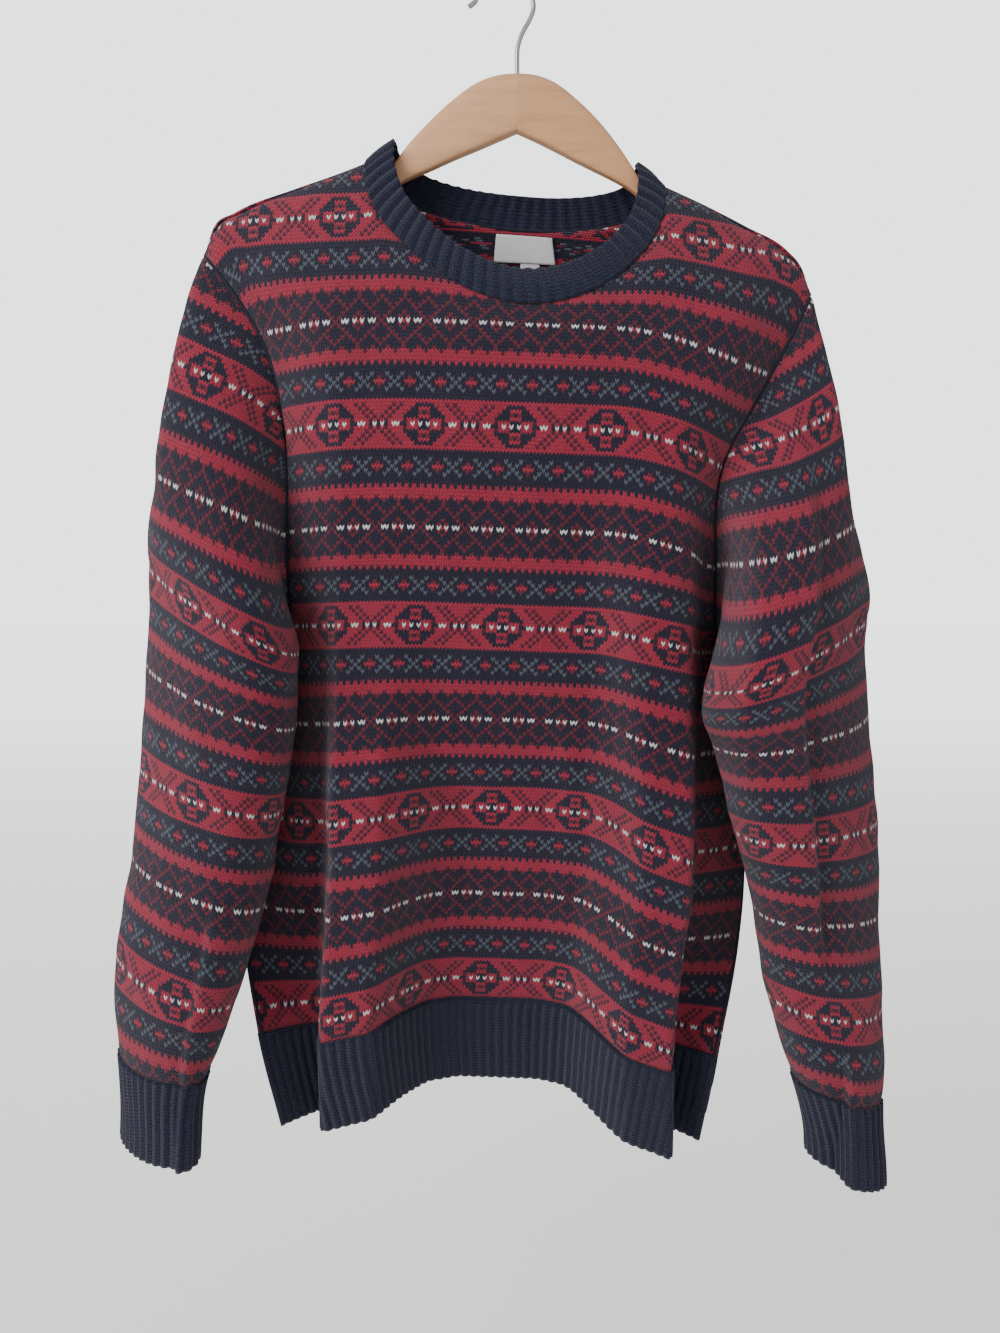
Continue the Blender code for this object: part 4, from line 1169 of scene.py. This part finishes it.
def seam_material():
    material, skin = plain_material("seam yarn", RIB_YARN, 0.95)
    tree = material.node_tree
    fuzz = speckle(tree, object_place(tree), 700.0, 3.0)
    paint(tree, skin, fuzz, (0.006, 0.008, 0.020, 1), (0.018, 0.023, 0.048, 1))
    raise_surface(tree, skin, fuzz, 1.0, 0.6)
    return material


SEAM_YARN = seam_material()


def round_curve(name, radius, sides, material):
    """An empty curve that is round all along; its points are in metres."""
    curve = bpy.data.curves.new(name, "CURVE")
    curve.dimensions = "3D"
    curve.bevel_depth = radius * MM
    curve.bevel_resolution = sides
    curve.use_fill_caps = True
    curve.materials.append(material)
    piece = bpy.data.objects.new(name, curve)
    bpy.context.scene.collection.objects.link(piece)
    return piece


def seam_cord(name, places, closed):
    """A cord along a line of points (mm)."""
    cord = round_curve(name, SEAM_THICK, 3, SEAM_YARN)
    spline = cord.data.splines.new("POLY")
    spline.points.add(len(places) - 1)
    for point, place in zip(spline.points, places * MM):
        point.co = (*place, 1.0)
    spline.use_cyclic_u = closed
    return cord


def moved_in(line, middle, depth):
    """A line of points moved a depth towards a point."""
    return line + unit(middle - line) * depth


DOWN = np.array([0, 0, -1.0])
seams = []
for side, word in ((-1, "left"), (1, "right")):
    inward = np.array([-side, 0, 0])
    hole = armhole(side, 140)[:-1]
    hole = moved_in(hole, hole.mean(axis=0) + inward * 30.0, SEAM_KNIT)
    seams.append(seam_cord("seam_armhole_" + word, hole, True))
    edge = np.array([front_point(float(side), r)[0] for r in np.linspace(0, ROWS_ARMPIT, 60)])
    seams.append(seam_cord("seam_side_" + word, edge + inward * SEAM_KNIT, False))
    ridge = np.array([front_edge_point(a) * (1, 0, 1) for a in np.linspace(A_NECK, 1, 50) * side])
    seams.append(seam_cord("seam_shoulder_" + word, ridge + DOWN * SEAM_RIDGE, False))
    cuff = sleeve_ring(side, 0.0)[:-1:3]
    seams.append(seam_cord("seam_cuff_" + word, moved_in(cuff, cuff.mean(axis=0), SEAM_BAND), True))
edge = hem_loop(0.0)[:-1:2]
seams.append(seam_cord("seam_hem", moved_in(edge, edge.mean(axis=0), SEAM_BAND), True))
edge = neck_edge()[:-1:2]
middle = np.array([NECK["x"], NECK_Y, edge[:, 2].mean()])
seams.append(seam_cord("seam_neck", moved_in(edge, middle, SEAM_KNIT), True))
print(len(seams), "seams")

# %% [markdown]
# ## Label and size tab
# A woven satin label is sewn to the inside of the back neck, with a small folded tab under it.  Both
# are blank here.  They are made from points of the back panel, moved out past its wrong side.

# %% Blank label
THREADS = 12          # threads of the ribbon in the width of one stitch


def satin_material():
    material, skin = plain_material("white satin", (0.86, 0.86, 0.88), 0.42)
    skin.inputs["Sheen Weight"].default_value = 0.15
    tree = material.node_tree
    lay, column, row = stitch_place(tree)
    weft = calc(tree, "SINE", calc(tree, "MULTIPLY", row, 2 * pi * THREADS))
    warp = calc(tree, "SINE", calc(tree, "MULTIPLY", column, 2 * pi * THREADS))
    height = calc(tree, "MULTIPLY", calc(tree, "ADD", weft, warp), 0.5)
    cloud = speckle(tree, lay, 0.7, 2.0)
    paint(tree, skin, cloud, (0.80, 0.80, 0.83, 1), (0.90, 0.90, 0.92, 1))
    raise_surface(tree, skin, height, 0.4, 0.15)
    return material


SATIN = satin_material()


def label(name, left, right, low, high, lift, thick):
    """A strip of ribbon lying on the wrong side of the back, by places across and rows."""
    cols, rows = np.linspace(left, right, 33), np.linspace(low, high, 13)
    places = np.array([[back_point(a, r)[0] for a in cols] for r in rows])
    toward = outward(places, False)
    if toward[..., 1].mean() > 0:
        toward = -toward
    lie = np.abs(np.linspace(-1, 1, len(cols))) ** 6 * 0.5      # its ends are sewn down
    places = places + toward * (WALL + lift + thick - lie[None, :, None])
    stitches = np.stack(np.meshgrid(cols * BACK_CLOTH / WALE, rows), -1)
    piece = make_cloth(name, places, stitches)
    give_wall(piece, thick, SATIN, SATIN)
    print(name, round(cloth_area(places) * 1e4, 2), "cm2")
    return piece


neck_label = label("blank_label", -0.065, 0.095, 217.6, 224.6, 2.6, 0.5)
size_tab = label("blank_size_tab", 0.0, 0.05, 215.4, 217.9, 2.2, 0.4)

# %% [markdown]
# ## Wooden hanger
# The hanger is two sawn halves glued at a mitre under the hook, shaped like a bell and rounded on
# every edge.  Each half is a tube of sections: the tables give the top, the underside and half the
# thickness at each place along the arm.

# %% Wood
HANGER_L = [
    ("x", "top", "bottom", "half"),
    (9.69, -68, -109.7, 7.0), (-4, -69.2, -115.4, 7.0), (-20, -74.5, -122, 7.0),
    (-37.5, -86, -129, 6.6), (-56, -102, -137, 6.0), (-75, -121.5, -145, 5.0),
    (-84, -133, -150, 4.4), (-101, -142.5, -160, 4.6), (-135, -151, -171, 5.4),
    (-170, -164.5, -184, 5.4), (-200, -177.5, -197, 5.2), (-212, -184, -201, 4.6),
    (-216, -189, -198, 3.2),
]
HANGER_R = [
    ("x", "top", "bottom", "half"),
    (9.71, -68, -109.7, 7.0), (23, -69.2, -115.4, 7.0), (38, -74.5, -122.5, 7.0),
    (54, -86, -130.5, 6.6), (76, -107, -141, 5.8), (90, -124.5, -148, 5.0),
    (98, -136, -153, 4.6), (106, -148, -160, 4.4), (123, -161, -173, 4.8),
    (150, -171, -187, 5.0), (182, -188, -205, 5.2), (204, -201, -219, 5.2),
    (213, -208, -221, 4.6), (216, -212, -218, 3.2),
]
GRAIN_TURN = 24       # how far the grain runs down from level, along each arm


def stretched(tree, place, scale, turn=0.0):
    """A place turned about Y and stretched, so that a noise on it runs in streaks."""
    node = tree.nodes.new("ShaderNodeMapping")
    node.inputs["Rotation"].default_value = (0, turn, 0)
    node.inputs["Scale"].default_value = scale
    tree.links.new(place, node.inputs[0])
    return node.outputs[0]


def wood_material(name, pale, deep, turn):
    """Pale beech: long soft grain with short dark flecks, under satin lacquer."""
    material, skin = plain_material(name, pale, 0.42)
    skin.inputs["Coat Weight"].default_value = 0.25
    skin.inputs["Coat Roughness"].default_value = 0.25
    tree = material.node_tree
    place = object_place(tree)
    grain = speckle(tree, stretched(tree, place, (9, 90, 90), radians(turn)), 2.2, 4.0)
    fleck = speckle(tree, stretched(tree, place, (60, 500, 500)), 3.0, 2.0)
    fleck = calc(tree, "GREATER_THAN", fleck, 0.66)
    dark = calc(tree, "MULTIPLY", calc(tree, "POWER", grain, 1.5), 1.1)
    colour = mix(tree, dark, (*pale, 1), (*deep, 1))
    spot = (deep[0] * 0.7, deep[1] * 0.6, deep[2] * 0.5, 1)
    paint(tree, skin, calc(tree, "MULTIPLY", fleck, 0.25), colour, spot)
    raise_surface(tree, skin, grain, 0.25, 0.2)
    return material


def rounded(wave, power):
    """A sine or cosine made squarer, so that a round section gets flat sides."""
    return np.sign(wave) * np.abs(wave) ** power


def hanger_half(name, table, material):
    """Half of the hanger: rounded sections along the arm, closed at both ends."""
    lines = [table[0]] + sorted(table[1:])
    first, last = lines[1][0], lines[-1][0]
    stations = first + (last - first) * (0.5 - 0.5 * np.cos(np.linspace(0, pi, 90)))
    turn = np.linspace(0, 2 * pi, 57)
    rings = []
    for x in stations:
        top, low, half = (value(lines, column, x) for column in ("top", "bottom", "half"))
        side = half * rounded(np.cos(turn), 0.45)
        tall = (top + low) / 2 + (top - low) / 2 * rounded(np.sin(turn), 0.62)
        rings.append(np.stack([np.full_like(turn, x), side, tall], -1))
    grid = np.stack(np.meshgrid(turn, stations), -1)
    piece = make_cloth(name, np.array(rings), grid, close=True)
    bm = bmesh.new()
    bm.from_mesh(piece.data)
    bmesh.ops.holes_fill(bm, edges=bm.edges)
    bmesh.ops.recalc_face_normals(bm, faces=bm.faces)
    bm.to_mesh(piece.data)
    bm.free()
    piece.data.materials.append(material)
    return piece


# lit and shaded copies of one beech: the left half is painted lighter as the lit side, the right half
# darker as painted shade; the grain runs the other way on each
BEECH_LEFT_PAINTED_LIT = wood_material("beech left painted lit", (0.90, 0.50, 0.27), (0.70, 0.34, 0.16), GRAIN_TURN)
BEECH_RIGHT_PAINTED_SHADE = wood_material("beech right painted shade", (0.86, 0.46, 0.23), (0.62, 0.29, 0.13), -GRAIN_TURN)
hanger_left = hanger_half("hanger_wood_left", HANGER_L, BEECH_LEFT_PAINTED_LIT)
hanger_right = hanger_half("hanger_wood_right", HANGER_R, BEECH_RIGHT_PAINTED_SHADE)
print("hanger", len(hanger_left.data.vertices) + len(hanger_right.data.vertices), "points")

# %% [markdown]
# ## Wire hook
# Plain drawn wire.  A curve with a round bevel is the quickest way to a bent wire, and it stays round
# at every bend.

# %% Hook
HOOK_WIRE = 3.5       # thickness of the wire
HOOK_BEND = 22.0      # radius of its bend
HOOK_REST = 18.5      # how far the middle of the bend lies under the inside of its top
HOOK_STEM = [(9.7, -68.5), (9.7, -60), (9.8, -52), (11.2, -44.5), (14.6, -36.5), (19.0, -29.0)]
HOOK_TIP = [(-23.4, -17.6), (-26.4, -19.6)]


def hook_places():
    """Stem, bend and tip of the hook, in the plane of the hanger."""
    bend = []
    for turn in np.linspace(0, 168, 15):
        t = radians(turn)
        bend.append((HOOK_BEND * cos(t), -HOOK_WIRE / 2 - HOOK_REST + HOOK_BEND * sin(t)))
    return HOOK_STEM + bend + HOOK_TIP


def wire_material():
    material, skin = plain_material("drawn wire", (0.55, 0.55, 0.56), 0.34)
    skin.inputs["Metallic"].default_value = 1.0
    tree = material.node_tree
    streak = speckle(tree, object_place(tree), 900.0, 2.0)
    rough = calc(tree, "ADD", calc(tree, "MULTIPLY", streak, 0.25), 0.22)
    tree.links.new(rough, skin.inputs["Roughness"])
    cloud = speckle(tree, object_place(tree), 60.0, 2.0)
    paint(tree, skin, cloud, (0.42, 0.42, 0.43, 1), (0.66, 0.66, 0.67, 1))
    return material


def bend_hook():
    hook = round_curve("hook_wire", HOOK_WIRE / 2, 6, wire_material())
    hook.data.resolution_u = 6
    places = hook_places()
    line = hook.data.splines.new("BEZIER")
    line.bezier_points.add(len(places) - 1)
    for point, (x, z) in zip(line.bezier_points, places):
        point.co = (x * MM, 0, z * MM)
        point.handle_left_type = point.handle_right_type = "AUTO"
    return hook


hook = bend_hook()

# %% [markdown]
# ## Join the looks to the solids
# Every piece rides on the one rigid body and stands for the solid it dresses.

# %% Which piece stands for which solid
DRESS = [
    (front, "front", "patterned_knit"), (back, "back", "patterned_knit"),
    (sleeves[-1], "sleeve_left", "patterned_knit"), (sleeves[1], "sleeve_right", "patterned_knit"),
    (hem, "hem_rib", "ribbing"), (neck, "neck_rib", "ribbing"),
    (cuffs[-1], "cuff_left", "ribbing"), (cuffs[1], "cuff_right", "ribbing"),
    (neck_label, "neck_label", "label"), (size_tab, "size_tab", "label"),
    (hanger_left, "hanger_left", "wood"), (hanger_right, "hanger_right", "wood"),
    (hook, "hanger_hook", "wire"),
]
for piece, node, material_slot in DRESS:
    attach(piece, "root")
    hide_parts(node)

for piece in seams:
    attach(piece, "root")

# %% Sizes of the solids and of the looks, and finish
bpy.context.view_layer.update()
for what, box in (("solids", SOLID_BOX), ("looks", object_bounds())):
    print(what, [[round(v, 4) for v in corner] for corner in box])
